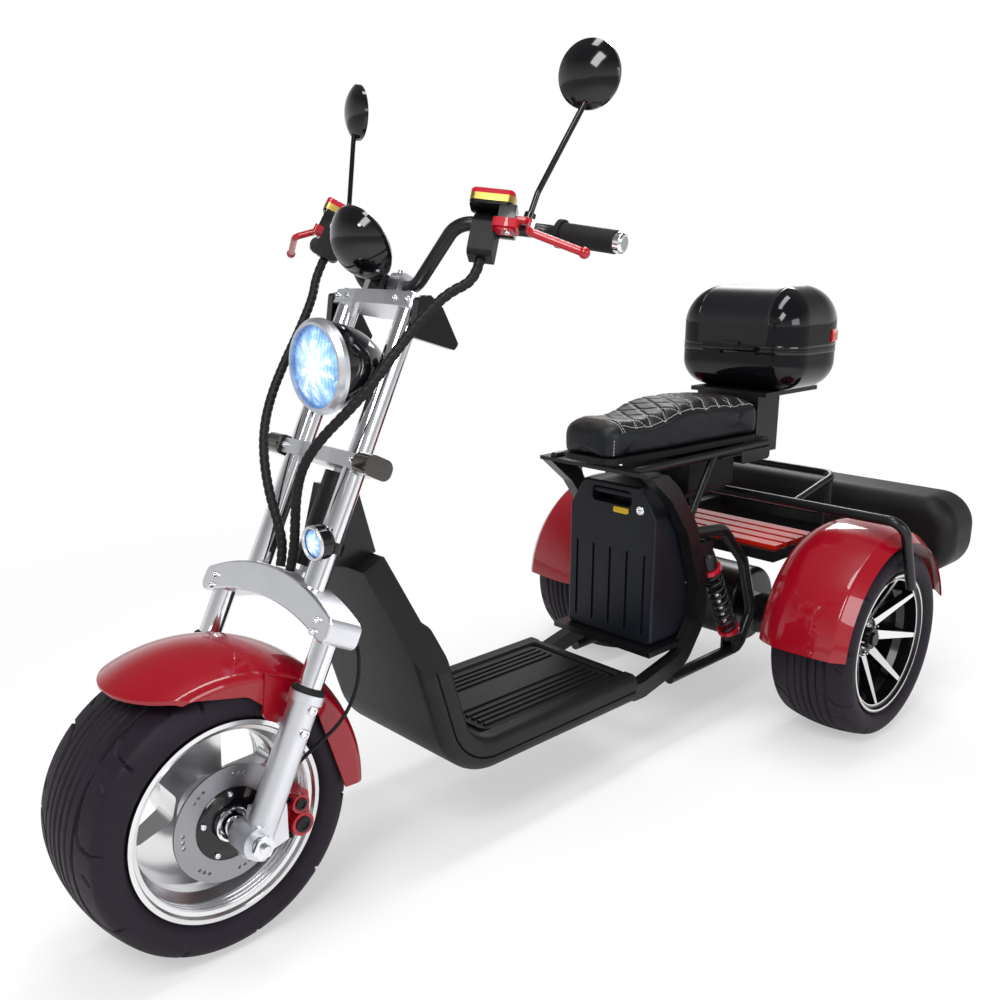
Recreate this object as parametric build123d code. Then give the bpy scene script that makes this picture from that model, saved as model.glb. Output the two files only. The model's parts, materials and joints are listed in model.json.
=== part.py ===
from build123d import *
import math
import os

# Three-wheeled electric scooter, millimetres. Stations are taken from the rear axle:
# +X forward, +Y to the rider's left, +Z up from the floor.

# Clearances
SEAT_GAP = 0.3
RUN_GAP = 0.3

# Wheels
WHEELBASE = 1436.0
TRACK = 702.0
FRONT_TYRE_R = 223.0
FRONT_TYRE_W = 204.0
FRONT_TYRE_H = 63.0
REAR_TYRE_R = 219.0
REAR_TYRE_W = 190.0
REAR_TYRE_H = 61.0
RIM_INSET = 10.0
FRONT_RIM_R = FRONT_TYRE_R - FRONT_TYRE_H
FRONT_RIM_W = FRONT_TYRE_W - 2 * RIM_INSET
REAR_RIM_R = REAR_TYRE_R - REAR_TYRE_H
REAR_RIM_W = REAR_TYRE_W - 2 * RIM_INSET
RIM_WALL = 7.0
FLANGE_H = 9.0
FLANGE_T = 6.0
DROP_CENTRE = 12.0
TYRE_WALL = 12.0
FRONT_HUB_R = 52.0
FRONT_WEB_T = 52.0
FRONT_WINDOWS = 3
FRONT_WINDOW_AT = 15.0
FRONT_WINDOW_SPAN = 58.0
FRONT_AXLE_R = 12.0
DISC_R = 93.0
DISC_T = 4.0
DISC_Y = FRONT_RIM_W / 2
DISC_HOLE_GROUPS = 7
DISC_HOLE_STEP = 7.0
DISC_HOLE_R = 3.0
REAR_HUB_R = 46.0
REAR_SPOKES = 8
REAR_SPOKE_AT = 7.7
REAR_SPOKE_ROOT_T = 22.0
REAR_SPOKE_TIP_T = 10.0
REAR_SPOKE_DEPTH = 20.0
REAR_HUB_FACE = 29.0
SPINDLE_R = 14.7

# Fenders
FENDER_T = 4.0
FRONT_FENDER_R = FRONT_TYRE_R + 39.0
FRONT_FENDER_EDGE_R = FRONT_TYRE_R + 9.0
FRONT_FENDER_HALF_W = FRONT_TYRE_W / 2 + 10.0
FRONT_FENDER_FROM = 59.0
FRONT_FENDER_TO = 183.0
FRONT_FENDER_ROUND = 20.0
FRONT_NOSE_L = 96.0
SKIRT_DEPTH = 42.0
# The skirt's lower edge as (angle from straight ahead, height over the tyre's radius)
SKIRT_EDGE = [(52.0, 12.0), (76.0, 4.0), (99.0, -20.0), (108.0, -36.0), (124.0, -36.0), (136.0, -16.0),
              (190.0, -12.0)]
TONGUE_L = 66.0
TONGUE_T = 5.0
REAR_FENDER_R = REAR_TYRE_R + 41.0
REAR_FENDER_LIP_R = REAR_TYRE_R + 10.0
REAR_FENDER_IN = TRACK / 2 - REAR_TYRE_W / 2 - 10.0
REAR_FENDER_OUT = TRACK / 2 + REAR_TYRE_W / 2 + 1.7
REAR_FENDER_FROM = 5.0
REAR_FENDER_TO = 164.0
REAR_FENDER_DOME = 70.0
REAR_FENDER_CROWN_R = 600.0
REAR_FENDER_FLARE = 24.0

# Fork, in its own raked frame: f forward, u up along the legs
RAKE = 26.0
AXLE_LEAD = 13.0
AXLE_DROP = FRONT_TYRE_R + 129.0
LEG_R = 23.0
LEG_Y = FRONT_FENDER_HALF_W + 15.0 + LEG_R
LEG_COLLAR_R = 27.0
LEG_TOP_U = -127.0
LEG_BOTTOM_U = -AXLE_DROP - 26.0
STANCHION_R = 19.0
TUBE_Y = 80.0
TUBE_R = 19.0
STEER_OFFSET = 42.0
STEM_R = 17.0
HEAD_TUBE_R = 30.0
HEAD_LOW_U = 45.0
HEAD_HIGH_U = 205.0
YOKE_LOW_U = 4.0
YOKE_ARCH_H = 42.0
YOKE_FACE_H = 50.0
YOKE_REACH = 184.0
YOKE_FRONT = 28.0
YOKE_END_R = 14.0
YOKE_EDGE_R = 4.0
MID_YOKE_U = 224.0
TOP_YOKE_U = 490.0
YOKE_T = 24.0
YOKE_HALF_W = 106.0

# Handlebar, in the fork's frame
BAR_R = 11.0
BAR_BASE_F = -8.0
BAR_BASE_U = 520.0
BAR_BASE_Y = 64.0
CLAMP_R = 20.0
CLAMP_IN = 17.0
CLAMP_OUT = 45.0
BAR_KNEE = (27.0, 155.0, 614.0)
GRIP_IN = (-52.0, 265.0, 636.0)
GRIP_OUT = (-84.0, 375.0, 634.0)
GRIP_R = 17.0
BAR_END_R = 15.0
BAR_END_L = 14.0
PERCH_L = 24.0
PERCH_AT = 66.0
PERCH_AHEAD = BAR_R + 14.0
RESERVOIR_L = 66.0
RESERVOIR_H = 20.0
SWITCH_AT = 45.0
SWITCH_L = 38.0
SWITCH_H = 60.0
SWITCH_LOW = 56.0
LEVER_R = 6.0
# The lever's middle and ball as (f, y, u)
LEVER_MIDDLE = (14.0, 300.0, 602.0)
LEVER_TIP = (-32.0, 372.0, 592.0)
MIRROR_AT = (-10.0, 285.0, 863.0)
MIRROR_R = 49.0
MIRROR_TURN = 16.7
MIRROR_STEM_R = 4.5
MIRROR_FOOT = 104.0
MIRROR_RISE = 46.0

# Lamps and dash
HEADLIGHT_F = 72.0
HEADLIGHT_U = 352.0
HEADLIGHT_R = 76.0
LENS_R = 65.0
LENS_DOME = 10.0
HEADLIGHT_L = 118.0
FOG_R = 27.0
FOG_GLASS_R = 22.0
FOG_L = 28.0
FOG_AT = (54.0, 113.0, 84.0)
FOG_CLAMP_U = 88.0
WINGLET_T = 14.0
# The winglet's corners as (f, height over the top yoke)
WINGLET = [(22.0, 2.0), (2.0, 16.0), (-30.0, 8.0), (-84.0, -30.0), (-80.0, -42.0), (4.0, -56.0)]
DASH_R = 62.0
DASH_DOME = 40.0
DASH_LIP = 12.0
DASH_TIP = 38.0
DASH_AT = (74.0, 0.0, 556.0)

# Looms and hoses
LOOM_R = 8.0
HOSE_R = 3.0
LOOM_DROP = 34.0
# Each loom's points as (f, y, u), from below its switch box down to the lower yoke
LOOM_LEFT = [(26, 186, 500), (42, 164, 446), (54, 150, 390), (66, 140, 336), (76, 116, 284), (82, 84, 236),
             (76, 54, 190), (58, 38, 146), (38, 32, 104), (20, 27, 66), (12, 24, 32)]
LOOM_RIGHT = [(8, -184, 490), (24, -164, 422), (42, -146, 356), (56, -128, 296), (64, -104, 238),
              (60, -76, 184), (46, -48, 134), (26, -26, 94), (12, -14, 62), (8, -10, 32)]
# The front brake hose's points as (f, y, u), from the caliper up to the lower yoke
HOSE_FRONT = [(-55.2, 110, -283.8), (-49, 114, -255), (-68, 126, -212), (-92, 138, -168),
              (-98, 143, -114), (-88, 136, -62), (-64, 120, -16), (-32.4, 120, -16)]

# Deck and apron
DECK_TOP = 214.0
DECK_T = 62.0
DECK_HALF_W = 156.0
DECK_SIDE_RAIL = 34.0
DECK_REAR = 538.0
DECK_LIP = 22.0
DECK_BEND_X = WHEELBASE - 424.0
DECK_BEND_R = 105.0
APRON_LEAN = 17.5
APRON_TOP = FRONT_TYRE_R + 337.0
APRON_TAPER_FROM = APRON_TOP - 188.0
# The apron's centre line leans forward from the deck's bend to its top
DECK_MID = DECK_TOP - DECK_T / 2
APRON_RUN = math.tan(math.radians(APRON_LEAN))
APRON_TOP_X = DECK_BEND_X + (APRON_TOP - DECK_MID) * APRON_RUN
NECK_HALF_W = 34.0
CHANNEL_DEPTH = 10.0
CHANNEL_HALF_W = DECK_HALF_W - DECK_SIDE_RAIL - 6.0
MAT_T = 9.0
MAT_SHEET_T = 5.0
MAT_RIB_W = 8.0
MAT_PANEL_HALF_W = 34.0
# Distances of the mat's ribs from its middle
MAT_RIBS_AT = (50.0, 66.0, 82.0, 98.0)

# Rear frame, above the axle
AXLE_Z = REAR_TYRE_R
AXLE_TUBE_R = 34.0
AXLE_TUBE_HALF = TRACK / 2 - REAR_RIM_W / 2 - 40.0
MOTOR_R = 92.0
MOTOR_HALF_W = 84.0
LOOP_R = 13.0
CARRIER_Z = AXLE_Z + 176.0
CARRIER_TUBE = 25.0
CARRIER_Y = REAR_FENDER_IN - 49.0
CARRIER_FRONT = 130.0
SLAT_W = 32.0
SLAT_T = 10.0
SLAT_PITCH = 45.0
SLATS = 4
SLAT_HALF_L = CARRIER_Y + 7.0
FENDER_BAR_R = 11.0
FENDER_BAR_X = 45.0
FENDER_BAR_Z = AXLE_Z + REAR_FENDER_R + 26.0
FENDER_BAR_END = (-19.0, AXLE_Z + 131.0)
RACK_R = 9.0
RACK_BACK = -145.0
RACK_Z = FENDER_BAR_Z + 38.0
RACK_POST_X = -120.0
TAIL_FRONT = -REAR_FENDER_R - 20.0
TAIL_BACK = TAIL_FRONT - 160.0
TAIL_HALF_W = REAR_FENDER_OUT - 16.7
TAIL_LOW = AXLE_Z + 81.0
TAIL_HIGH = AXLE_Z + 273.0
TAIL_END_R = 80.0
TAIL_LAMP_T = 6.0
TAIL_LAMP_IN = 190.0
TAIL_LAMP_OUT = TAIL_HALF_W - 81.0

# Seat and its rails
BRACKET_LOW = FENDER_BAR_Z + 84.0
BRACKET_FRONT = 117.0
BRACKET_BACK = 0.0
RAIL_R = 9.0
RAIL_Z = BRACKET_LOW + 41.0
RAIL_FRONT = 500.0
RAIL_BACK = 31.0
SEAT_PLATE_T = 8.0
SEAT_BASE_T = 12.0
SEAT_FRONT = 548.0
SEAT_BACK = 37.0
SEAT_FRONT_HALF_W = 72.0
SEAT_BACK_HALF_W = 108.0
SEAT_LOW = RAIL_Z + RAIL_R + SEAT_GAP
SEAT_TOP = RAIL_Z + 94.0
PILLION_TOP = RAIL_Z + 113.0
SEAT_NOSE_L = 118.0
SEAT_STEP_L = 110.0

# Battery and its cradle
BATTERY_FRONT = 448.0
BATTERY_L = 116.0
BATTERY_HALF_W = 117.0
BATTERY_LOW = 239.0
BATTERY_HIGH = RAIL_Z - 40.0
BATTERY_SHOULDER = 62.0
BATTERY_GROOVES = 5
BAND_W = 28.0
BAND_DEPTH = 35.0
BAND_Y = BATTERY_HALF_W + 5.0 + BAND_W / 2
BAND_IN = BAND_Y - BAND_W / 2
BAND_TOP = RAIL_Z - RAIL_R
CONTROLLER_BACK = 132.0
CONTROLLER_L = 170.0
CONTROLLER_HALF_W = 92.0
CONTROLLER_H = 74.0
CONTROLLER_FINS = 7

# Side-view corners (x, z) of the cradle's band and of the loop behind it
BAND_PATH = [(DECK_REAR + 4, 172), (DECK_REAR - 33, 170), (370, 200), (313, 277), (315, 370),
             (360, RAIL_Z - 140), (425, RAIL_Z - 55), (508, RAIL_Z + 11)]
LOOP_PATH = [(400, 161), (134, AXLE_Z - 55), (88, AXLE_Z + 23), (138, AXLE_Z + 157),
             (228, AXLE_Z + 245), (342, AXLE_Z + 257)]
STRUT_FROM_X = 242.0
STRUT_FOOT = (353.0, RAIL_Z - 117.0)
SHOCK_R = 24.0
SHOCK_LOW = (165.0, AXLE_Z - 26.3)
SHOCK_HIGH = (300.0, RAIL_Z - 190.0)
SHOCK_EYE_R = 14.0
SHOCK_EYE_W = 22.0
LUG_T = 6.0

# Top case
CASE_LOW = RAIL_Z + 113.0
CASE_SEAM = CASE_LOW + 98.0
CASE_HIGH = CASE_SEAM + 140.0
CASE_FRONT = 31.0
CASE_BACK = -266.0
CASE_HALF_W = 162.0
CASE_FRONT_HALF_W = 96.0
CASE_BACK_CORNER_R = 146.0
CASE_WALL = 4.0
CASE_FLOOR_T = 6.0
CASE_BOTTOM_R = 64.0
CASE_TOP_R = 88.0
CASE_SEAM_GAP = 0.5
HINGE_R = 7.0
HINGE_PIN_R = 3.0
HINGE_HALF_L = 70.0

# The part's origin is under the middle of its length
ORIGIN_X = (WHEELBASE + FRONT_TYRE_R + TAIL_BACK) / 2

FRONT_AXLE = Vector(WHEELBASE, 0, FRONT_TYRE_R)
LEAN = math.radians(RAKE)
FORK_UP = Vector(-math.sin(LEAN), 0, math.cos(LEAN))
FORK_AHEAD = Vector(math.cos(LEAN), 0, math.sin(LEAN))
FORK_ORIGIN = FRONT_AXLE - FORK_AHEAD * AXLE_LEAD + FORK_UP * AXLE_DROP
FORK = Plane(origin=FORK_ORIGIN, x_dir=FORK_AHEAD, z_dir=FORK_UP).location


def save(name, *solids):
    """Writes one named piece, moved to the part's origin."""
    moved = [Pos(-ORIGIN_X, 0, 0) * solid for solid in solids]
    piece = moved[0] if len(moved) == 1 else Compound(children=moved)
    export_step(piece, f"parts/{name}.step")


def mirrored(solid):
    """The same piece on the other side of the vehicle."""
    return mirror(solid, about=Plane.XZ)


def fork_point(f, y, u):
    """A point of the fork's frame in the vehicle's frame."""
    return FORK_ORIGIN + FORK_AHEAD * f + FORK_UP * u + Vector(0, y, 0)


def side_face(*points):
    """A polygon in the vehicle's side view, corners as (x, z)."""
    return make_face(Polyline(*[(x, 0, z) for x, z in points], close=True))


def slab(face, y_from, y_to):
    """A side-view face made solid between two values of y."""
    return Pos(0, y_from, 0) * extrude(face, amount=y_to - y_from, dir=(0, 1, 0))


def tube(points, radius, bend=0.0):
    """A round bar along straight runs with bends of one radius."""
    corners = [Vector(*p) if isinstance(p, tuple) else p for p in points]
    path = FilletPolyline(*corners, radius=bend) if bend else Polyline(*corners)
    return sweep(Plane(origin=path @ 0, z_dir=path % 0) * Circle(radius), path=path)


def rod(start, end, radius):
    """A straight round bar between two points."""
    start = Vector(*start) if isinstance(start, tuple) else start
    end = Vector(*end) if isinstance(end, tuple) else end
    reach = end - start
    return extrude(Plane(origin=start, z_dir=reach) * Circle(radius), amount=reach.length)


def cross_rod(x, z, radius, y_from, y_to):
    """A round bar that lies across the vehicle."""
    return rod((x, y_from, z), (x, y_to, z), radius)


def box(x_range, y_range, z_range):
    """A block between two corners."""
    size = [high - low for low, high in (x_range, y_range, z_range)]
    middle = [(high + low) / 2 for low, high in (x_range, y_range, z_range)]
    return Pos(*middle) * Box(*size)


def fork_box(f_range, y_range, u_range):
    """A block set in the fork's frame."""
    return FORK * box(f_range, y_range, u_range)


def fork_rod(f, y, radius, u_from, u_to):
    """A round bar along the fork."""
    return rod(fork_point(f, y, u_from), fork_point(f, y, u_to), radius)


def polar(radius, degrees):
    """A side-view point at an angle from straight ahead, upward positive."""
    turn = math.radians(degrees)
    return (radius * math.cos(turn), radius * math.sin(turn))


def tyre(radius, width, rim_radius, rim_width):
    """A hollow tyre about the origin, on a rim with flanges."""
    half = width / 2
    seat_r = rim_radius - FLANGE_H + SEAT_GAP
    bead_y = rim_width / 2 - FLANGE_T - 2 - SEAT_GAP
    over_r = rim_radius + SEAT_GAP
    shoulder_r = radius - 11
    shoulder_y = half - 12
    belly_r = (over_r + shoulder_r) / 2
    toe_y = bead_y - TYRE_WALL - 4
    inner_r = radius - TYRE_WALL
    outline = Polyline((seat_r, toe_y), (seat_r, bead_y), (over_r, bead_y))
    outline += ThreePointArc((over_r, bead_y), (belly_r, half), (shoulder_r, shoulder_y))
    outline += ThreePointArc((shoulder_r, shoulder_y), (radius, 0), (shoulder_r, -shoulder_y))
    outline += ThreePointArc((shoulder_r, -shoulder_y), (belly_r, -half), (over_r, -bead_y))
    outline += Polyline((over_r, -bead_y), (seat_r, -bead_y), (seat_r, -toe_y))
    outline += Line((seat_r, -toe_y), (belly_r, TYRE_WALL - half))
    outline += Line((belly_r, TYRE_WALL - half), (inner_r - 6, TYRE_WALL - shoulder_y))
    outline += Line((inner_r - 6, TYRE_WALL - shoulder_y), (inner_r - 6, shoulder_y - TYRE_WALL))
    outline += Line((inner_r - 6, shoulder_y - TYRE_WALL), (belly_r, half - TYRE_WALL))
    outline += Line((belly_r, half - TYRE_WALL), (seat_r, toe_y))
    return revolve(make_face(outline), Axis.Y)


def rim_barrel(rim_radius, rim_width):
    """The rim's barrel with two flanges and a drop centre."""
    half = rim_width / 2
    well = rim_radius - FLANGE_H - DROP_CENTRE
    # columns: radius of the outer skin, radius of the inner skin, distance from the middle
    stations = [
        (rim_radius, rim_radius - RIM_WALL, half),
        (rim_radius, rim_radius - RIM_WALL - 3, half - FLANGE_T),
        (rim_radius - FLANGE_H, rim_radius - FLANGE_H - RIM_WALL, half - FLANGE_T - 2),
        (rim_radius - FLANGE_H - 1, rim_radius - FLANGE_H - RIM_WALL, half - 36),
        (well, well - RIM_WALL, half - 50),
    ]
    outer = [(r, y) for r, _, y in stations] + [(r, -y) for r, _, y in reversed(stations)]
    inner = [(r, y) for _, r, y in stations] + [(r, -y) for _, r, y in reversed(stations)]
    return revolve(make_face(Polyline(*outer, *reversed(inner), close=True)), Axis.Y)


def front_rim():
    """Cast wheel with three broad spokes left between rounded windows."""
    barrel = rim_barrel(FRONT_RIM_R, FRONT_RIM_W)
    well = FRONT_RIM_R - FLANGE_H - DROP_CENTRE - RIM_WALL
    web_half = FRONT_WEB_T / 2
    section = make_face(Polyline(
        (FRONT_HUB_R - 2, -web_half), (well + 3, -web_half * 0.6),
        (well + 3, web_half * 0.6), (FRONT_HUB_R - 2, web_half), close=True))
    web = revolve(section, Axis.Y)
    low, high = FRONT_HUB_R + 8, well - 6
    half_span = FRONT_WINDOW_SPAN / 2
    for number in range(FRONT_WINDOWS):
        middle = FRONT_WINDOW_AT + 360 / FRONT_WINDOWS * number
        corners = [polar(low, middle + half_span * 0.62), polar(high, middle + half_span)]
        corners += [polar(high, middle - half_span), polar(low, middle - half_span * 0.62)]
        tip = polar(high + 1, middle)
        edge = Polyline(*[(x, 0, z) for x, z in (corners[2], corners[3], corners[0], corners[1])])
        edge += ThreePointArc(*[(x, 0, z) for x, z in (corners[1], tip, corners[2])])
        window = make_face(edge)
        window = fillet(window.vertices(), 13)
        web -= slab(window, -FRONT_WEB_T, FRONT_WEB_T)
    hub = cross_rod(0, 0, FRONT_HUB_R, -web_half - 44, DISC_Y)
    bore = cross_rod(0, 0, FRONT_AXLE_R + RUN_GAP, -FRONT_RIM_W, FRONT_RIM_W)
    return barrel + web + hub - bore


def brake_disc():
    """Drilled disc that bolts on the hub's left face."""
    disc = cross_rod(0, 0, DISC_R, DISC_Y, DISC_Y + DISC_T)
    disc -= cross_rod(0, 0, FRONT_AXLE_R + 10, DISC_Y - 1, DISC_Y + DISC_T + 1)
    hole_circle = DISC_R - 14
    for group in range(DISC_HOLE_GROUPS):
        for step in (-1, 0, 1):
            x, z = polar(hole_circle, 360 / DISC_HOLE_GROUPS * group + DISC_HOLE_STEP * step)
            disc -= cross_rod(x, z, DISC_HOLE_R, DISC_Y - 1, DISC_Y + DISC_T + 1)
    return disc


def rear_rim():
    """Dished wheel with blade spokes that narrow to their tips; the dish faces +Y."""
    barrel = rim_barrel(REAR_RIM_R, REAR_RIM_W)
    rim_face = REAR_RIM_W / 2 - 8
    tip_r = REAR_RIM_R - FLANGE_H - RIM_WALL + 2
    root_r = REAR_HUB_R - 4
    # columns: distance from the axle, outer face, width of the blade
    stations = [(root_r, REAR_HUB_FACE, REAR_SPOKE_ROOT_T), (tip_r, rim_face, REAR_SPOKE_TIP_T)]
    ends = []
    for radius, face_y, width in stations:
        middle = (radius, face_y - REAR_SPOKE_DEPTH / 2, 0)
        ends.append(Plane(origin=middle, x_dir=(0, 0, 1), z_dir=(1, 0, 0))
                    * Rectangle(width, REAR_SPOKE_DEPTH))
    blade = loft(ends)
    hub = cross_rod(0, 0, REAR_HUB_R, -REAR_RIM_W / 2 + 10, REAR_HUB_FACE)
    wheel = barrel + hub
    for number in range(REAR_SPOKES):
        wheel += Rot(0, -REAR_SPOKE_AT - 360 / REAR_SPOKES * number, 0) * blade
    return wheel - cross_rod(0, 0, SPINDLE_R + RUN_GAP, -REAR_RIM_W, REAR_RIM_W)


def arc_shell(face, start, end):
    """A side-on section turned about Y from one angle to another, upward positive."""
    return revolve(Rot(0, -start, 0) * face, Axis((0, 0, 0), (0, -1, 0)), end - start)


def fender_arch(crown, edge, half, foot):
    """The front fender's section as (radius, y): upright sides, rounded shoulders and a low arch."""
    outline = Polyline((edge, half), (foot, half), (foot, -half), (edge, -half))
    outline += ThreePointArc((edge, -half), (crown, 0), (edge, half))
    face = make_face(outline)
    shoulders = [v for v in face.vertices() if abs(v.X - edge) < 0.1]
    return fillet(shoulders, FRONT_FENDER_ROUND)


def front_fender():
    """Domed fender over the front tyre: round nose, square tail and a tongue for each leg."""
    crown, edge, half = FRONT_FENDER_R, FRONT_FENDER_EDGE_R, FRONT_FENDER_HALF_W
    foot = edge - SKIRT_DEPTH - FENDER_T
    section = fender_arch(crown, edge, half, foot)
    section -= fender_arch(crown - FENDER_T, edge - FENDER_T, half - FENDER_T, foot)
    shell = arc_shell(section, FRONT_FENDER_FROM, FRONT_FENDER_TO)
    rim_line = [polar(FRONT_TYRE_R + rise, angle) for angle, rise in SKIRT_EDGE]
    sky = [polar(2 * crown, angle) for angle in (190, 150, 121, 90, 52)]
    kept = side_face(*rim_line, *sky)
    bends = [v for v in kept.vertices() if 0 < v.Z < crown and v.X > -edge]
    shell &= slab(fillet(bends, 24), -crown, crown)
    tip_x = polar(crown, FRONT_FENDER_FROM)[0] - 1
    side_x, wide = tip_x - FRONT_NOSE_L, half + 4
    plan = ThreePointArc((side_x, -wide), (tip_x, 0), (side_x, wide))
    plan += Polyline((side_x, wide), (-2 * crown, wide), (-2 * crown, -wide), (side_x, -wide))
    shell &= Pos(0, 0, -crown) * extrude(make_face(plan), amount=3 * crown)
    leg_angle = 90 + RAKE
    low = edge - TONGUE_L
    tongue = side_face(polar(low, leg_angle + 7), polar(low, leg_angle - 7),
                       polar(edge + 6, leg_angle - 11), polar(edge + 6, leg_angle + 11))
    foot = [v for v in tongue.vertices() if math.hypot(v.X, v.Z) < low + 1]
    tongue = fillet(foot, 16)
    tongue_left = slab(tongue, half - 3, half - 3 + TONGUE_T)
    shell = shell + tongue_left + mirrored(tongue_left)
    return Pos(*FRONT_AXLE) * shell


def fork_sliders():
    """Lower legs with a collar, an axle lug and fender bosses; the left one carries the caliper."""
    legs = []
    for side in (1, -1):
        y = side * LEG_Y
        leg = fork_rod(0, y, LEG_R, LEG_BOTTOM_U, LEG_TOP_U)
        leg += fork_rod(0, y, LEG_COLLAR_R, LEG_TOP_U - 14, LEG_TOP_U)
        leg += cross_rod(FRONT_AXLE.X, FRONT_AXLE.Z, 24, y - LEG_R, y + LEG_R)
        tongue_face = side * (FRONT_FENDER_HALF_W - 3 + TONGUE_T)
        for drop in (21, 57):
            boss = fork_point(0, tongue_face, LEG_TOP_U - drop)
            leg += rod(boss, boss + Vector(0, side * 30, 0), 8)
        if side > 0:
            leg += caliper_arm()
        leg -= cross_rod(FRONT_AXLE.X, FRONT_AXLE.Z, FRONT_AXLE_R + SEAT_GAP / 2, y - 60, y + 60)
        leg -= fork_rod(0, y, STANCHION_R + SEAT_GAP / 2, LEG_TOP_U - 60, LEG_TOP_U + 1)
        legs.append(leg)
    return legs


def caliper_arm():
    """Flat arm behind the left leg that the caliper bolts to."""
    x, z = FRONT_AXLE.X, FRONT_AXLE.Z
    reach = DISC_R - 21
    arm = side_face((x - reach, z + 22), (x - reach, z - 38), (x - 46, z - 44), (x + 4, z - 14),
                    (x - 12, z + 40))
    return slab(arm, LEG_Y - LEG_R + 1, LEG_Y - LEG_R + 11)


def front_caliper():
    """Caliper astride the disc's rear edge, with two piston housings on its outer side."""
    x, z = FRONT_AXLE.X - DISC_R, FRONT_AXLE.Z - 6
    inner, outer = DISC_Y - 12, LEG_Y - LEG_R + 1
    body = box((x - 24, x + 26), (inner, outer), (z - 36, z + 36))
    body = fillet(body.edges().filter_by(Axis.Y), 12)
    # columns: distance behind the disc's edge, height, radius of a piston's housing
    for back, rise, radius in ((0, 21, 15), (2, -14, 19)):
        body += cross_rod(x - back, z + rise, radius, outer - 6, outer + 16)
    slot_low, slot_high = DISC_Y - 5, DISC_Y + DISC_T + 5
    return body - box((x - 6, x + 60), (slot_low, slot_high), (z - 60, z + 60))


def fork_stanchions():
    """Bright inner tubes between the lower legs and the lower yoke."""
    top = YOKE_LOW_U - 10
    return [fork_rod(0, s * LEG_Y, STANCHION_R, LEG_TOP_U - 58, top) for s in (1, -1)]


def upper_tubes():
    """Bright tubes between the yokes."""
    low, high = YOKE_LOW_U - 20, TOP_YOKE_U + YOKE_T / 2 + 3
    return [fork_rod(0, s * TUBE_Y, TUBE_R, low, high) for s in (1, -1)]


def yoke_bores(y, low, high):
    """Both clamp bores of a yoke at one spacing."""
    return [fork_rod(0, s * y, TUBE_R + SEAT_GAP / 2, low, high) for s in (1, -1)]


def lower_yoke():
    """Wide arch that steps from the upper tubes out to the legs, with the steering stem."""
    top = YOKE_LOW_U + 26
    ends_top = top - YOKE_ARCH_H
    ends_low = ends_top - YOKE_FACE_H + 6
    mid_low = top - YOKE_FACE_H
    arch = ThreePointArc((0, -YOKE_REACH, ends_top), (0, 0, top), (0, YOKE_REACH, ends_top))
    arch += Line((0, YOKE_REACH, ends_top), (0, YOKE_REACH, ends_low))
    arch += ThreePointArc((0, YOKE_REACH, ends_low), (0, 0, mid_low), (0, -YOKE_REACH, ends_low))
    arch += Line((0, -YOKE_REACH, ends_low), (0, -YOKE_REACH, ends_top))
    back = YOKE_FRONT + 4
    face = make_face(arch)
    face = fillet(face.vertices(), YOKE_END_R)
    plate = Pos(-back, 0, 0) * extrude(face, amount=YOKE_FRONT + back, dir=(1, 0, 0))
    yoke = FORK * fillet(plate.edges().group_by(Axis.X)[-1], YOKE_EDGE_R)
    yoke += fork_rod(-STEER_OFFSET, 0, HEAD_TUBE_R, mid_low + 4, top + 5)
    yoke += fork_rod(-STEER_OFFSET, 0, STEM_R, mid_low + 4, MID_YOKE_U + YOKE_T / 2)
    for bore in yoke_bores(LEG_Y, ends_low - 30, YOKE_LOW_U - 10):
        yoke -= bore
    for bore in yoke_bores(TUBE_Y, YOKE_LOW_U - 20, top + 30):
        yoke -= bore
    return yoke


def plate_yoke(middle, back):
    """A flat yoke that clamps both upper tubes."""
    front = YOKE_FRONT - 2
    plan = Polyline((front, -40), (front - 6, -YOKE_HALF_W), (-TUBE_R - 5, -YOKE_HALF_W),
                    (back, -34), (back, 34), (-TUBE_R - 5, YOKE_HALF_W),
                    (front - 6, YOKE_HALF_W), (front, 40), close=True)
    plate = Pos(0, 0, middle - YOKE_T / 2) * extrude(make_face(plan), amount=YOKE_T)
    plate = fillet(plate.edges().filter_by(Axis.Z), 10)
    yoke = FORK * plate
    for bore in yoke_bores(TUBE_Y, middle - YOKE_T, middle + YOKE_T):
        yoke -= bore
    return yoke


def mid_yoke():
    """Middle yoke, held on the stem."""
    yoke = plate_yoke(MID_YOKE_U, -STEER_OFFSET - 28)
    bore_r = STEM_R + SEAT_GAP / 2
    return yoke - fork_rod(-STEER_OFFSET, 0, bore_r, MID_YOKE_U - YOKE_T, MID_YOKE_U + YOKE_T)


def top_yoke():
    """Top yoke with two clamps for the handlebar."""
    yoke = plate_yoke(TOP_YOKE_U, -STEER_OFFSET)
    top = TOP_YOKE_U + YOKE_T / 2
    for side in (1, -1):
        y_range = sorted((side * CLAMP_IN, side * CLAMP_OUT))
        block = fork_box((BAR_BASE_F - CLAMP_R, BAR_BASE_F + CLAMP_R), y_range,
                         (top - 2, BAR_BASE_U + CLAMP_R))
        yoke += fillet(block.edges().filter_by(Axis.Y), 8)
    bar = rod(fork_point(BAR_BASE_F, -60, BAR_BASE_U), fork_point(BAR_BASE_F, 60, BAR_BASE_U),
              BAR_R + SEAT_GAP / 2)
    return yoke - bar


def bar_points():
    """The handlebar's corners from the left grip to the right one."""
    left = [GRIP_OUT, GRIP_IN, BAR_KNEE, (BAR_BASE_F, BAR_BASE_Y, BAR_BASE_U)]
    right = [(f, -y, u) for f, y, u in reversed(left)]
    return [fork_point(*p) for p in left + right]


def handlebar():
    """High-rise bar bent from one tube."""
    return tube(bar_points(), BAR_R, 45)


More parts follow.
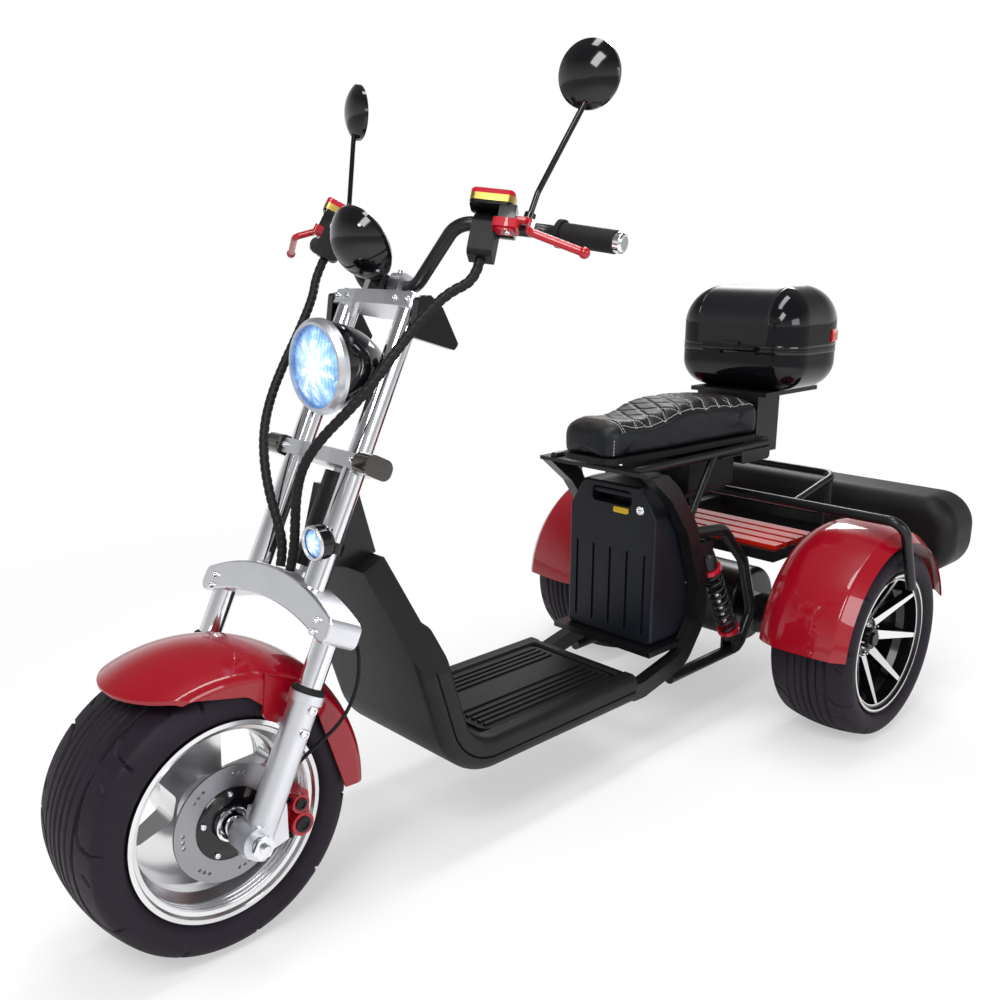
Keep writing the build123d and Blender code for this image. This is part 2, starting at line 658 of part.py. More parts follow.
def along_bar(start, end, side=1):
    """A frame on the handlebar: z runs from one fork point to another, x looks ahead."""
    a = fork_point(start[0], side * start[1], start[2])
    b = fork_point(end[0], side * end[1], end[2])
    run = (b - a).normalized()
    ahead = FORK_AHEAD - run * FORK_AHEAD.dot(run)
    return Plane(origin=a, x_dir=ahead, z_dir=run).location


def grip_length():
    """Distance between the grip's two ends."""
    return (fork_point(*GRIP_OUT) - fork_point(*GRIP_IN)).length


def grips():
    """Rubber grips with a flange at the inner end."""
    length = grip_length()
    pieces = []
    for side in (1, -1):
        bore = Cylinder(BAR_R + SEAT_GAP / 2, 3 * length)
        grip = Pos(0, 0, length / 2 + 10) * Cylinder(GRIP_R, length - 20)
        grip += Pos(0, 0, 24) * Cylinder(GRIP_R + 4, 8)
        pieces.append(along_bar(GRIP_IN, GRIP_OUT, side) * (grip - bore))
    return pieces


def bar_ends():
    """Bright caps on the handlebar's ends."""
    length = grip_length()
    cap = Pos(0, 0, length + BAR_END_L / 2) * Cylinder(BAR_END_R, BAR_END_L)
    cap = fillet(cap.edges().group_by(Axis.Z)[-1], 5)
    return [along_bar(GRIP_IN, GRIP_OUT, side) * cap for side in (1, -1)]


def bar_bore():
    """The handlebar's own bore for what is clamped on it."""
    return Cylinder(BAR_R + SEAT_GAP / 2, 6 * grip_length())


def master_cylinders():
    """Brake perches clamped on the bar, each with a fluid reservoir."""
    pieces = []
    for side in (1, -1):
        perch = Pos(0, 0, PERCH_AT + PERCH_L / 2) * Cylinder(BAR_R + 7, PERCH_L)
        body = Pos(PERCH_AHEAD, -side * 3, PERCH_AT + 13) * Box(22, 30, 26)
        rise = -side * (BAR_R + 5 + RESERVOIR_H / 2)
        pot = Pos(BAR_R + 8, rise, PERCH_AT - 14) * Box(36, RESERVOIR_H, RESERVOIR_L)
        pot = fillet(pot.edges().filter_by(Axis.Y), 9)
        pieces.append(along_bar(BAR_KNEE, GRIP_IN, side) * (perch + body + pot - bar_bore()))
    return pieces


def brake_levers():
    """Levers ahead of the grips, ball ended, hung from the perches."""
    pieces = []
    for side in (1, -1):
        seat = along_bar(BAR_KNEE, GRIP_IN, side)
        start = Vector(*(seat * Pos(PERCH_AHEAD, 0, PERCH_AT + 26 + SEAT_GAP)).position)
        points = [start, start + (seat * Pos(0, 0, 24)).position - seat.position]
        points += [fork_point(f, side * y, u) for f, y, u in (LEVER_MIDDLE, LEVER_TIP)]
        lever = tube(points, LEVER_R, 2 * LEVER_R)
        lever += Pos(*points[-1]) * Sphere(1.4 * LEVER_R)
        pieces.append(lever)
    return pieces


def switch_housings():
    """Switch boxes inboard of the perches, hung below the bar."""
    pieces = []
    for side in (1, -1):
        ring = Pos(0, 0, SWITCH_AT) * Cylinder(BAR_R + 4, SWITCH_L)
        low = Pos(0, side * (SWITCH_LOW - SWITCH_H / 2), SWITCH_AT) * Box(42, SWITCH_H, SWITCH_L)
        low = fillet(low.edges().filter_by(Axis.Z), 9)
        pieces.append(along_bar(BAR_KNEE, GRIP_IN, side) * (ring + low - bar_bore()))
    return pieces


def mirrors():
    """Round mirrors on bent stems."""
    heads, glasses = [], []
    for side in (1, -1):
        f, y, u = MIRROR_AT
        centre = fork_point(f, side * y, u)
        place = Pos(*centre) * Rot(0, 0, side * MIRROR_TURN)
        dome = ThreePointArc((18, 0), (12, MIRROR_R * 0.62), (0, MIRROR_R))
        dome += Polyline((0, MIRROR_R), (-7, MIRROR_R), (-7, MIRROR_R - 4), (-4, MIRROR_R - 4))
        dome += Polyline((-4, MIRROR_R - 4), (-4, 0), (18, 0))
        head = place * revolve(make_face(dome), Axis.X)
        clamp = Vector(*(along_bar(BAR_KNEE, GRIP_IN, side) * Pos(0, 0, MIRROR_FOOT)).position)
        foot = clamp + FORK_UP * (BAR_R + 2)
        points = [foot, foot + FORK_UP * MIRROR_RISE, centre + Vector(6, 0, -MIRROR_R * 0.8)]
        stem = tube(points, MIRROR_STEM_R, MIRROR_RISE / 2)
        stem += rod(foot, foot + FORK_UP * 12, 9)
        heads.append(head + stem)
        glass = rod((-4, 0, 0), (-6.5, 0, 0), MIRROR_R - 4 - SEAT_GAP)
        glasses.append(place * glass)
    return heads, glasses


def headlight():
    """Bullet shell, bright ring and domed lens; the lens faces straight ahead."""
    place = Pos(*fork_point(HEADLIGHT_F - 6, 0, HEADLIGHT_U))
    bowl = ThreePointArc((0, HEADLIGHT_R - 3), (-62, 56), (-HEADLIGHT_L, 10))
    bowl += Polyline((-HEADLIGHT_L, 10), (-HEADLIGHT_L, 0), (0, 0), (0, HEADLIGHT_R - 3))
    shell = place * revolve(make_face(bowl), Axis.X)
    tube_middle = fork_point(0, 0, HEADLIGHT_U - 6)
    reach = TUBE_Y - TUBE_R - SEAT_GAP
    shell += cross_rod(tube_middle.X, tube_middle.Z, 11, -reach, reach)
    band = make_face(Polyline((0, LENS_R + SEAT_GAP), (0, HEADLIGHT_R), (8, HEADLIGHT_R),
                              (16, LENS_R + 5), (16, LENS_R + SEAT_GAP), close=True))
    ring = place * revolve(band, Axis.X)
    cap = dome_arc(LENS_R, LENS_DOME)
    cap += Polyline((0, 0), (0, -LENS_DOME - 8), (LENS_R, -LENS_DOME - 8), (LENS_R, -LENS_DOME))
    lens = place * Pos(8 + LENS_DOME, 0, 0) * Rot(0, 90, 0) * revolve(Plane.XZ * make_face(cap), Axis.Z)
    return shell, ring, lens


def fog_lamp():
    """Single round lamp that looks straight ahead, clamped on the left upper tube."""
    x, y, z = fork_point(*FOG_AT)
    can = rod((x - FOG_L, y, z), (x, y, z), FOG_R)
    can = fillet(can.edges().sort_by(Axis.X)[0], 12)
    can -= rod((x - 6, y, z), (x + 1, y, z), FOG_GLASS_R)
    clamp = fork_rod(0, TUBE_Y, TUBE_R + 6, FOG_CLAMP_U - 9, FOG_CLAMP_U + 9)
    arm = rod(fork_point(0, TUBE_Y, FOG_CLAMP_U), (x - FOG_L / 2, y, z), 8)
    lamp = can + clamp + arm
    return lamp - fork_rod(0, TUBE_Y, TUBE_R + SEAT_GAP / 2, FOG_CLAMP_U - 60, FOG_CLAMP_U + 60)


def front_indicators():
    """Dark oval lamps at the ends of the middle yoke."""
    lamps = []
    for side in (1, -1):
        inner = side * (YOKE_HALF_W + SEAT_GAP)
        lamp = fork_box((-24, 30), sorted((inner, inner + side * 34)),
                        (MID_YOKE_U - 17, MID_YOKE_U + 17))
        lamps.append(fillet(lamp.edges().filter_by(Axis.Y), 15))
    return lamps


def winglets():
    """Wedge-shaped side covers of the top yoke."""
    wing = make_face(Polyline(*[(f, 0, TOP_YOKE_U + rise) for f, rise in WINGLET], close=True))
    wing = fillet(wing.vertices(), 5)
    left = Pos(0, YOKE_HALF_W, 0) * extrude(wing, amount=WINGLET_T, dir=(0, 1, 0))
    left = FORK * left
    return [left, mirrored(left)]


def dome_arc(radius, rise):
    """A round cap's outline as (distance from the axis, height), from its edge to its top at 0."""
    ball_r = (radius ** 2 + rise ** 2) / (2 * rise)
    half_way = (radius / 2, math.sqrt(ball_r ** 2 - radius ** 2 / 4) - ball_r)
    return ThreePointArc((radius, -rise), half_way, (0, 0))


def dash():
    """Round instrument in a domed shell ahead of the handlebar, tipped to the rider, on a stalk."""
    f, y, u = DASH_AT
    half = Plane.XZ * make_face(dome_arc(DASH_R, DASH_DOME) + Polyline(
        (0, 0), (0, -DASH_DOME - DASH_LIP), (DASH_R - 5, -DASH_DOME - DASH_LIP),
        (DASH_R, -DASH_DOME - DASH_LIP + 5), (DASH_R, -DASH_DOME)))
    bowl = Rot(180, 0, 0) * revolve(half, Axis.Z)
    pod = FORK * Pos(f, y, u) * Rot(0, -DASH_TIP, 0) * Pos(0, 0, -DASH_DOME) * bowl
    stalk_top = DASH_AT[2] - DASH_DOME + 16
    stalk = fork_box((10, 24), (-14, 14), (TOP_YOKE_U + YOKE_T / 2, stalk_top))
    return pod + stalk


def front_axle():
    """Axle with spacers and end nuts."""
    x, z = FRONT_AXLE.X, FRONT_AXLE.Z
    out = LEG_Y + LEG_R
    inner = LEG_Y - LEG_R
    axle = cross_rod(x, z, FRONT_AXLE_R, -out - 16, out + 16)
    axle += cross_rod(x, z, FRONT_AXLE_R + 6, DISC_Y + DISC_T + 1, inner)
    axle += cross_rod(x, z, FRONT_AXLE_R + 6, -inner, -FRONT_WEB_T / 2 - 45)
    for side in (1, -1):
        axle += cross_rod(x, z, FRONT_AXLE_R + 5, side * out, side * (out + 11))
    return axle


def deck_section():
    """The footboard's section: a channel between two side rails, with a parting groove below them."""
    half, top = DECK_HALF_W, DECK_T / 2
    rail_in, floor = half - DECK_SIDE_RAIL, top - CHANNEL_DEPTH
    groove_z, groove = -2.0, 4.0
    right = [(half, -top), (half, groove_z - groove), (half - groove, groove_z - groove / 2),
             (half, groove_z), (half, top), (rail_in, top), (CHANNEL_HALF_W, floor)]
    face = make_face(Polyline(*right, *[(-y, z) for y, z in reversed(right)], close=True))
    # columns: distance from the middle, height, radius of that pair of corners
    for y, z, radius in ((half, -top, 20), (half, top, 14), (rail_in, top, 6)):
        pair = [v for v in face.vertices() if abs(abs(v.X) - y) < 0.1 and abs(v.Y - z) < 0.1]
        face = fillet(pair, radius)
    return face


def deck():
    """Footboard and front apron, one moulding with a channel for the mat."""
    path = FilletPolyline((DECK_REAR, 0, DECK_MID), (DECK_BEND_X, 0, DECK_MID),
                          (APRON_TOP_X, 0, APRON_TOP), radius=DECK_BEND_R)
    start = Plane(origin=path @ 0, x_dir=(0, 1, 0), z_dir=path % 0)
    board = sweep(start * deck_section(), path=path)
    wide = 2 * DECK_HALF_W
    taper = Polyline((0, DECK_HALF_W, APRON_TAPER_FROM), (0, NECK_HALF_W + 24, APRON_TOP + 20),
                     (0, wide, APRON_TOP + 20), (0, wide, APRON_TAPER_FROM), close=True)
    wedge = Pos(DECK_BEND_X - 80, 0, 0) * extrude(make_face(taper), amount=400, dir=(1, 0, 0))
    board = board - wedge - mirrored(wedge)
    lip = box((DECK_REAR, DECK_REAR + DECK_LIP), (-CHANNEL_HALF_W - 4, CHANNEL_HALF_W + 4),
              (DECK_TOP - CHANNEL_DEPTH - 2, DECK_TOP))
    return board + chamfer(lip.edges().filter_by(Axis.Y).group_by(Axis.Z)[-1], 4)


def deck_mat():
    """Rubber mat with lengthwise ribs either side of a plain middle, in the deck's channel."""
    low = DECK_TOP - CHANNEL_DEPTH
    half = CHANNEL_HALF_W - 1
    x_range = (DECK_REAR + DECK_LIP + 4, DECK_BEND_X - 83)
    rib_range = (x_range[0] + 14, x_range[1] - 14)
    mat = box(x_range, (-half, half), (low, low + MAT_SHEET_T))
    mat = fillet(mat.edges().filter_by(Axis.Z), 20)
    mat += box(rib_range, (-MAT_PANEL_HALF_W, MAT_PANEL_HALF_W), (low, low + MAT_T))
    for side in (1, -1):
        for at in MAT_RIBS_AT:
            y_range = sorted((side * at - MAT_RIB_W / 2, side * at + MAT_RIB_W / 2))
            mat += box(rib_range, y_range, (low, low + MAT_T))
    return mat


def neck():
    """Head tube on a short neck that rises from the apron."""
    head_low = fork_point(-STEER_OFFSET, 0, HEAD_LOW_U)
    head_mid = fork_point(-STEER_OFFSET, 0, (HEAD_LOW_U + HEAD_HIGH_U) / 2)
    lean = math.radians(APRON_LEAN)
    half_t = DECK_T / 2 - 4
    front = (APRON_TOP_X + half_t * math.cos(lean), APRON_TOP - half_t * math.sin(lean))
    back = (APRON_TOP_X - half_t * math.cos(lean), APRON_TOP + half_t * math.sin(lean))
    stalk = slab(side_face(front, (head_low.X, head_low.Z + 10), (head_mid.X, head_mid.Z + 60),
                           (head_mid.X - 40, head_mid.Z + 52), back), -NECK_HALF_W, NECK_HALF_W)
    tube_outer = fork_rod(-STEER_OFFSET, 0, HEAD_TUBE_R, HEAD_LOW_U, HEAD_HIGH_U)
    bore = fork_rod(-STEER_OFFSET, 0, STEM_R + RUN_GAP, HEAD_LOW_U - 60, HEAD_HIGH_U + 60)
    return stalk + tube_outer - bore


def loop_tube(side, radius):
    """One bent side tube of the rear frame."""
    points = [(x, side * BAND_Y, z) for x, z in LOOP_PATH]
    return tube(points, radius, 38)


def shock_lug(x, z, y, towards):
    """Two plates either side of a shock's eye."""
    inner = SHOCK_EYE_W / 2 + SEAT_GAP
    plates = []
    for side in (1, -1):
        y_range = sorted((y + side * inner, y + side * (inner + LUG_T)))
        plates.append(box(sorted((x - 15, x + towards[0])), y_range,
                          sorted((z + 14, z + towards[1]))))
    return plates


def battery_cradle():
    """C-shaped side bands joined by a floor and a back plate."""
    path = FilletPolyline(*[(x, BAND_Y, z) for x, z in BAND_PATH], radius=60)
    start = Plane(origin=path @ 0, x_dir=(0, 1, 0), z_dir=path % 0)
    cradle = sweep(start * Rectangle(BAND_W, BAND_DEPTH), path=path)
    beyond = 2 * BAND_Y
    cradle -= box((0, 2 * DECK_REAR), (0, beyond), (BAND_TOP, BAND_TOP + beyond))
    cradle -= box((DECK_REAR, DECK_REAR + beyond), (0, beyond), (0, DECK_TOP + beyond))
    x, z = SHOCK_HIGH
    for plate in shock_lug(x, z, BAND_Y, (40, -16)):
        cradle += plate
    cradle -= loop_tube(1, LOOP_R + SEAT_GAP)
    cradle = cradle + mirrored(cradle)
    floor_low = BATTERY_LOW - 12
    back = BATTERY_FRONT - BATTERY_L
    cradle += box((back - 6, BATTERY_FRONT + 26), (-BAND_Y, BAND_Y), (floor_low, BATTERY_LOW))
    cradle += box((back - 6, back), (-BAND_Y, BAND_Y), (floor_low, BATTERY_LOW + 120))
    return cradle


def battery_case():
    """Upright battery pack: sloped shoulders, upright grooves and a grip across a pocket."""
    back = BATTERY_FRONT - BATTERY_L
    half, top = BATTERY_HALF_W, BATTERY_HIGH - 9
    neck_half = half - BATTERY_SHOULDER * 0.6
    right = [(half, BATTERY_LOW), (half, top - BATTERY_SHOULDER), (neck_half, top)]
    front = make_face(Polyline(*[(0, y, z) for y, z in right],
                               *[(0, -y, z) for y, z in reversed(right)], close=True))
    case = Pos(back, 0, 0) * extrude(front, amount=BATTERY_L, dir=(1, 0, 0))
    case = fillet(case.edges().filter_by(Axis.X), 12)
    case = fillet(case.edges().group_by(Axis.X)[-1], 6)
    pitch = 2 * (half - 24) / (BATTERY_GROOVES - 1)
    for number in range(BATTERY_GROOVES):
        y = 24 - half + pitch * number
        case -= box((BATTERY_FRONT - 5, BATTERY_FRONT + 1), (y - 3, y + 3),
                    (BATTERY_LOW + 24, top - 2.3 * BATTERY_SHOULDER))
    pocket_low, pocket_half = top - 46, neck_half - 26
    pocket = box((BATTERY_FRONT - 42, BATTERY_FRONT + 1), (-pocket_half, pocket_half),
                 (pocket_low, top - 12))
    case -= fillet(pocket.edges().filter_by(Axis.X), 10)
    grip_z = top - 22
    return case + cross_rod(BATTERY_FRONT - 12, grip_z, 8, -pocket_half - 4, pocket_half + 4)


def controller_box():
    """Motor controller hung from the seat's rails, finned underneath."""
    top = RAIL_Z - RAIL_R - SEAT_GAP
    low = top - CONTROLLER_H
    fin_low = low - 10
    rail_y = BAND_IN - SEAT_GAP - RAIL_R
    x_range = (CONTROLLER_BACK, CONTROLLER_BACK + CONTROLLER_L)
    case = box(x_range, (-CONTROLLER_HALF_W, CONTROLLER_HALF_W), (low, top - 3))
    case = fillet(case.edges().filter_by(Axis.X), 8)
    case += box((x_range[0] + 10, STRUT_FROM_X - 20), (-rail_y - 6, rail_y + 6), (top - 4, top))
    pitch = 2 * (CONTROLLER_HALF_W - 14) / (CONTROLLER_FINS - 1)
    for number in range(CONTROLLER_FINS):
        y = 14 - CONTROLLER_HALF_W + pitch * number
        case += box((x_range[0] + 6, x_range[1] - 6), (y - 2.5, y + 2.5), (fin_low, low + 2))
    return case


def rear_loops():
    """Side tubes that carry the axle and the shocks' lower ends."""
    x, z = SHOCK_LOW
    left = loop_tube(1, LOOP_R)
    for plate in shock_lug(x, z, BAND_Y, (15, -30)):
        left += plate
    return [left, mirrored(left)]


def shocks():
    """Spring and damper units between the loops and the cradle."""
    low = Vector(SHOCK_LOW[0], BAND_Y, SHOCK_LOW[1])
    high = Vector(SHOCK_HIGH[0], BAND_Y, SHOCK_HIGH[1])
    run = (high - low).normalized()
    length = (high - low).length
    half_eye = SHOCK_EYE_W / 2
    unit = rod(low, high, 9)
    for end in (low, high):
        unit += cross_rod(end.X, end.Z, SHOCK_EYE_R, BAND_Y - half_eye, BAND_Y + half_eye)
    unit += rod(low + run * 24, low + run * 36, SHOCK_R + 2)
    unit += rod(high - run * 66, high - run * 24, SHOCK_R - 4)
    unit += rod(high - run * 72, high - run * 60, SHOCK_R + 2)
    turns = 8
    span = length - 72 - 36
    for number in range(turns):
        middle = low + run * (36 + span / turns * (number + 0.5))
        unit += rod(middle - run * 4.5, middle + run * 4.5, SHOCK_R)
    return [unit, mirrored(unit)]


def rear_axle():
    """Axle tube with the drive casing, frame brackets and wheel spindles."""
    z = REAR_TYRE_R
    axle = cross_rod(0, z, AXLE_TUBE_R, -AXLE_TUBE_HALF, AXLE_TUBE_HALF)
    tip = TRACK / 2 + REAR_HUB_FACE
    axle += cross_rod(0, z, SPINDLE_R, -tip - 22, tip + 22)
    for side in (1, -1):
        axle += cross_rod(0, z, SPINDLE_R + 9, side * (tip + 1), side * (tip + 16))
        reach = LOOP_PATH[2][0] + 4
        plate = side_face((-44, z - 30), (-44, z + 30), (60, z + 60), (reach, z + 60),
                          (reach, z - 5), (60, z - 40))
        y = side * BAND_Y
        bracket = slab(plate, y - 9, y + 9)
        axle += bracket - loop_tube(side, LOOP_R + SEAT_GAP)
    return axle


def drive_motor():
    """Motor and differential casing on the axle's middle."""
    z = REAR_TYRE_R
    casing = cross_rod(-10, z, MOTOR_R, -MOTOR_HALF_W, MOTOR_HALF_W)
    casing = fillet(casing.edges(), 14)
    return casing - cross_rod(0, z, AXLE_TUBE_R + SEAT_GAP, -2 * MOTOR_HALF_W, 2 * MOTOR_HALF_W)


def carrier_frame():
    """Square-tube frame behind the seat that carries the tray, the rack and the tail."""
    half = CARRIER_TUBE / 2
    z_range = (CARRIER_Z - half, CARRIER_Z + half)
    frame = box((CARRIER_FRONT - CARRIER_TUBE, CARRIER_FRONT),
                (-CARRIER_Y - half, CARRIER_Y + half), z_range)
    frame += box((TAIL_FRONT, TAIL_FRONT + CARRIER_TUBE),
                 (-CARRIER_Y - half, CARRIER_Y + half), z_range)
    for side in (1, -1):
        y = side * CARRIER_Y
        frame += box((TAIL_FRONT, CARRIER_FRONT), (y - half, y + half), z_range)
    for side in (1, -1):
        frame -= loop_tube(side, LOOP_R + SEAT_GAP)
    return frame


def tray_slats():
    """Slats that lie across the carrier."""
    low = CARRIER_Z + CARRIER_TUBE / 2
    first = CARRIER_FRONT - CARRIER_TUBE - 140
    slats = []
    for number in range(SLATS):
        x = first + SLAT_PITCH * number
        slats.append(box((x - SLAT_W / 2, x + SLAT_W / 2), (-SLAT_HALF_L, SLAT_HALF_L),
                         (low, low + SLAT_T)))
    return slats


def fender_bar():
    """Stay over both rear fenders, turned down outside them."""
    out = REAR_FENDER_OUT + SEAT_GAP + FENDER_BAR_R
    x_end, z_end = FENDER_BAR_END
    points = [(x_end, out, z_end), (FENDER_BAR_X, out, FENDER_BAR_Z)]
    points += [(FENDER_BAR_X, -out, FENDER_BAR_Z), (x_end, -out, z_end)]
    return tube(points, FENDER_BAR_R, 34)


def rear_rack():
    """Hoop behind the seat, on two posts, joined to the fender stay."""
    front = FENDER_BAR_X - FENDER_BAR_R - 3
    points = [(front, CARRIER_Y, FENDER_BAR_Z), (RACK_BACK, CARRIER_Y, RACK_Z)]
    points += [(RACK_BACK, -CARRIER_Y, RACK_Z), (front, -CARRIER_Y, FENDER_BAR_Z)]
    hoop = tube(points, RACK_R, 30)
    for side in (1, -1):
        y = side * CARRIER_Y
        hoop += rod((RACK_POST_X, y, CARRIER_Z + CARRIER_TUBE / 2), (RACK_POST_X, y, RACK_Z - 6),
                    RACK_R - 1)
        hoop += rod((front - 4, y, FENDER_BAR_Z), (FENDER_BAR_X, y, FENDER_BAR_Z), RACK_R)
    clear = cross_rod(FENDER_BAR_X, FENDER_BAR_Z, FENDER_BAR_R + SEAT_GAP, -TRACK, TRACK)
    return hoop - clear


def fender_dome(crown, lip, inner, outer):
    """A rear fender's section as (radius, y): round inside shoulder, crown, creased outer flare."""
    drop = crown - lip
    dome_r = (drop ** 2 + REAR_FENDER_DOME ** 2) / (2 * drop)
    half_way = math.asin(REAR_FENDER_DOME / dome_r) / 2
    top_y = inner + REAR_FENDER_DOME
    shoulder = (crown - dome_r + dome_r * math.cos(half_way), top_y - dome_r * math.sin(half_way))
    crease_y = outer - REAR_FENDER_FLARE
    fall = REAR_FENDER_CROWN_R - math.sqrt(REAR_FENDER_CROWN_R ** 2 - (crease_y - top_y) ** 2)
    mid_y = (top_y + crease_y) / 2
    mid_fall = REAR_FENDER_CROWN_R - math.sqrt(REAR_FENDER_CROWN_R ** 2 - (mid_y - top_y) ** 2)
    edge = ThreePointArc((lip, inner), shoulder, (crown, top_y))
    edge += ThreePointArc((crown, top_y), (crown - mid_fall, mid_y), (crown - fall, crease_y))
    edge += Polyline((crown - fall, crease_y), (lip, outer), (lip, inner))
    face = make_face(edge)
    crease = [v for v in face.vertices() if abs(v.Y - crease_y) < 0.1]
    return fillet(crease, 10)


def rear_fender():
    """Left rear fender: a thin domed shell, and a tab to the rack's post."""
    crown, lip = REAR_FENDER_R, REAR_FENDER_LIP_R
    inner, outer = REAR_FENDER_IN, REAR_FENDER_OUT
    outline = fender_dome(crown, lip, inner, outer)
    hollow = fender_dome(crown - FENDER_T, lip - FENDER_T, inner, outer)
    shell = arc_shell(outline - hollow, REAR_FENDER_FROM, REAR_FENDER_TO)
    shell = Pos(0, 0, REAR_TYRE_R) * shell
    tab_z = REAR_TYRE_R + math.sqrt(lip ** 2 - RACK_POST_X ** 2) + 1
    post_side = CARRIER_Y + RACK_R - 1 + SEAT_GAP
    tab = box((RACK_POST_X - 14, RACK_POST_X + 14), (post_side, inner + 9), (tab_z, tab_z + 5))
    return shell + tab


def tail_housing():
    """Full-width moulded housing at the tail, rounded at its ends."""
    back = TAIL_BACK + TAIL_LAMP_T
    shape = box((back, TAIL_FRONT), (-TAIL_HALF_W, TAIL_HALF_W), (TAIL_LOW, TAIL_HIGH))
    shape = fillet(shape.edges().filter_by(Axis.X), TAIL_END_R)
    shape = fillet(shape.edges().group_by(Axis.X)[0], 45)
    return fillet(shape.edges().group_by(Axis.X)[-1], 40)


def tail_lamps():
    """Lamp lenses on the tail's back face."""
    back = TAIL_BACK + TAIL_LAMP_T
    lamps = []
    for side in (1, -1):
        y_range = sorted((side * TAIL_LAMP_IN, side * TAIL_LAMP_OUT))
        lamp = box((TAIL_BACK, back), y_range, (TAIL_LOW + 66, TAIL_HIGH - 66))
        lamps.append(fillet(lamp.edges().filter_by(Axis.X), 20))
    return lamps


def seat_frame():
    """Rails under the seat, a plate on the cradle and a strut each side."""
    y = BAND_IN - SEAT_GAP - RAIL_R
    frame = box((RAIL_FRONT - 22, RAIL_FRONT + 18), (-BAND_Y - 10, BAND_Y + 10),
                (BAND_TOP, BAND_TOP + SEAT_PLATE_T))
    for side in (1, -1):
        frame += rod((RAIL_FRONT + 10, side * y, RAIL_Z), (RAIL_BACK, side * y, RAIL_Z), RAIL_R)
        foot = (STRUT_FOOT[0], side * BAND_Y, STRUT_FOOT[1])
        frame += rod((STRUT_FROM_X, side * y, RAIL_Z), foot, RAIL_R - 1)
    return frame


def seat_plan(grow):
    """Seat outline from above: narrow at the front, wide at the back."""
    front, back = SEAT_FRONT + grow, SEAT_BACK - grow
    narrow, wide = SEAT_FRONT_HALF_W + grow, SEAT_BACK_HALF_W + grow
    neck_x = (front + back) / 2 + 60
    plan = Polyline((back, -wide), (neck_x, -wide + 14), (front, -narrow), (front, narrow),
                    (neck_x, wide - 14), (back, wide), close=True)
    return fillet(make_face(plan).vertices(), 30)


def seat_base():
    """Moulded pan under the seat."""
    return Pos(0, 0, SEAT_LOW) * extrude(seat_plan(-6), amount=SEAT_BASE_T)


def seat():
    """Padded seat with a raised pillion at the back."""
    low = SEAT_LOW + SEAT_BASE_T
    dip = SEAT_FRONT - SEAT_NOSE_L
    rise = dip - SEAT_STEP_L
    profile = Polyline((SEAT_BACK, 0, low), (SEAT_FRONT, 0, low), (SEAT_FRONT, 0, SEAT_TOP - 24))
    profile += ThreePointArc((SEAT_FRONT, 0, SEAT_TOP - 24), (SEAT_FRONT - 36, 0, SEAT_TOP),
                             (dip, 0, SEAT_TOP - 6))
    profile += ThreePointArc((dip, 0, SEAT_TOP - 6), (dip - 0.4 * SEAT_STEP_L, 0, SEAT_TOP - 1),
                             (rise + 0.25 * SEAT_STEP_L, 0, PILLION_TOP - 9))
    profile += ThreePointArc((rise + 0.25 * SEAT_STEP_L, 0, PILLION_TOP - 9), (rise - 40, 0, PILLION_TOP),
                             (SEAT_BACK, 0, PILLION_TOP - 12))
    profile += Line((SEAT_BACK, 0, PILLION_TOP - 12), (SEAT_BACK, 0, low))
    block = slab(make_face(profile), -SEAT_BACK_HALF_W - 20, SEAT_BACK_HALF_W + 20)
    prism = Pos(0, 0, low) * extrude(seat_plan(0), amount=200)
    return block & prism


def tail_bracket():
    """Box behind the seat's rails that carries the top case on a plate."""
    half = BAND_IN - 2 * SEAT_GAP - 2 * RAIL_R
    top = CASE_LOW
    low_box = box((BRACKET_BACK, BRACKET_FRONT), (-half, half), (BRACKET_LOW, SEAT_LOW))
    low_box = fillet(low_box.edges().filter_by(Axis.Y), 10)
    spine = box((BRACKET_BACK - 60, SEAT_BACK - 4), (-half + 20, half - 20),
                (SEAT_LOW - 40, top - 10))
    plate = box((CASE_BACK + 70, SEAT_BACK - 4), (-half, half), (top - 10, top))
    return low_box + spine + plate


def case_plan(grow):
    """Top case outline from above: flat front, straight sides, round back corners."""
    front, back = CASE_FRONT + grow, CASE_BACK - grow
    half = CASE_HALF_W + grow
    plan = make_face(Polyline((back, -half), (front, -half), (front, half), (back, half), close=True))
    front_corners = [v for v in plan.vertices() if v.X > 0]
    plan = fillet(front_corners, CASE_HALF_W - CASE_FRONT_HALF_W + grow)
    back_corners = [v for v in plan.vertices() if v.X < back + 1]
    return fillet(back_corners, CASE_BACK_CORNER_R + grow)


def hinge_knuckle(y_from, y_to, z_face, towards):
    """One knuckle of the case's hinge with a leaf on the front wall."""
    x = CASE_FRONT + HINGE_R + 1
    knuckle = cross_rod(x, CASE_SEAM, HINGE_R, y_from, y_to)
    leaf = box((CASE_FRONT - 2, x), (y_from, y_to), sorted((z_face, z_face + towards * 14)))
    return knuckle + leaf


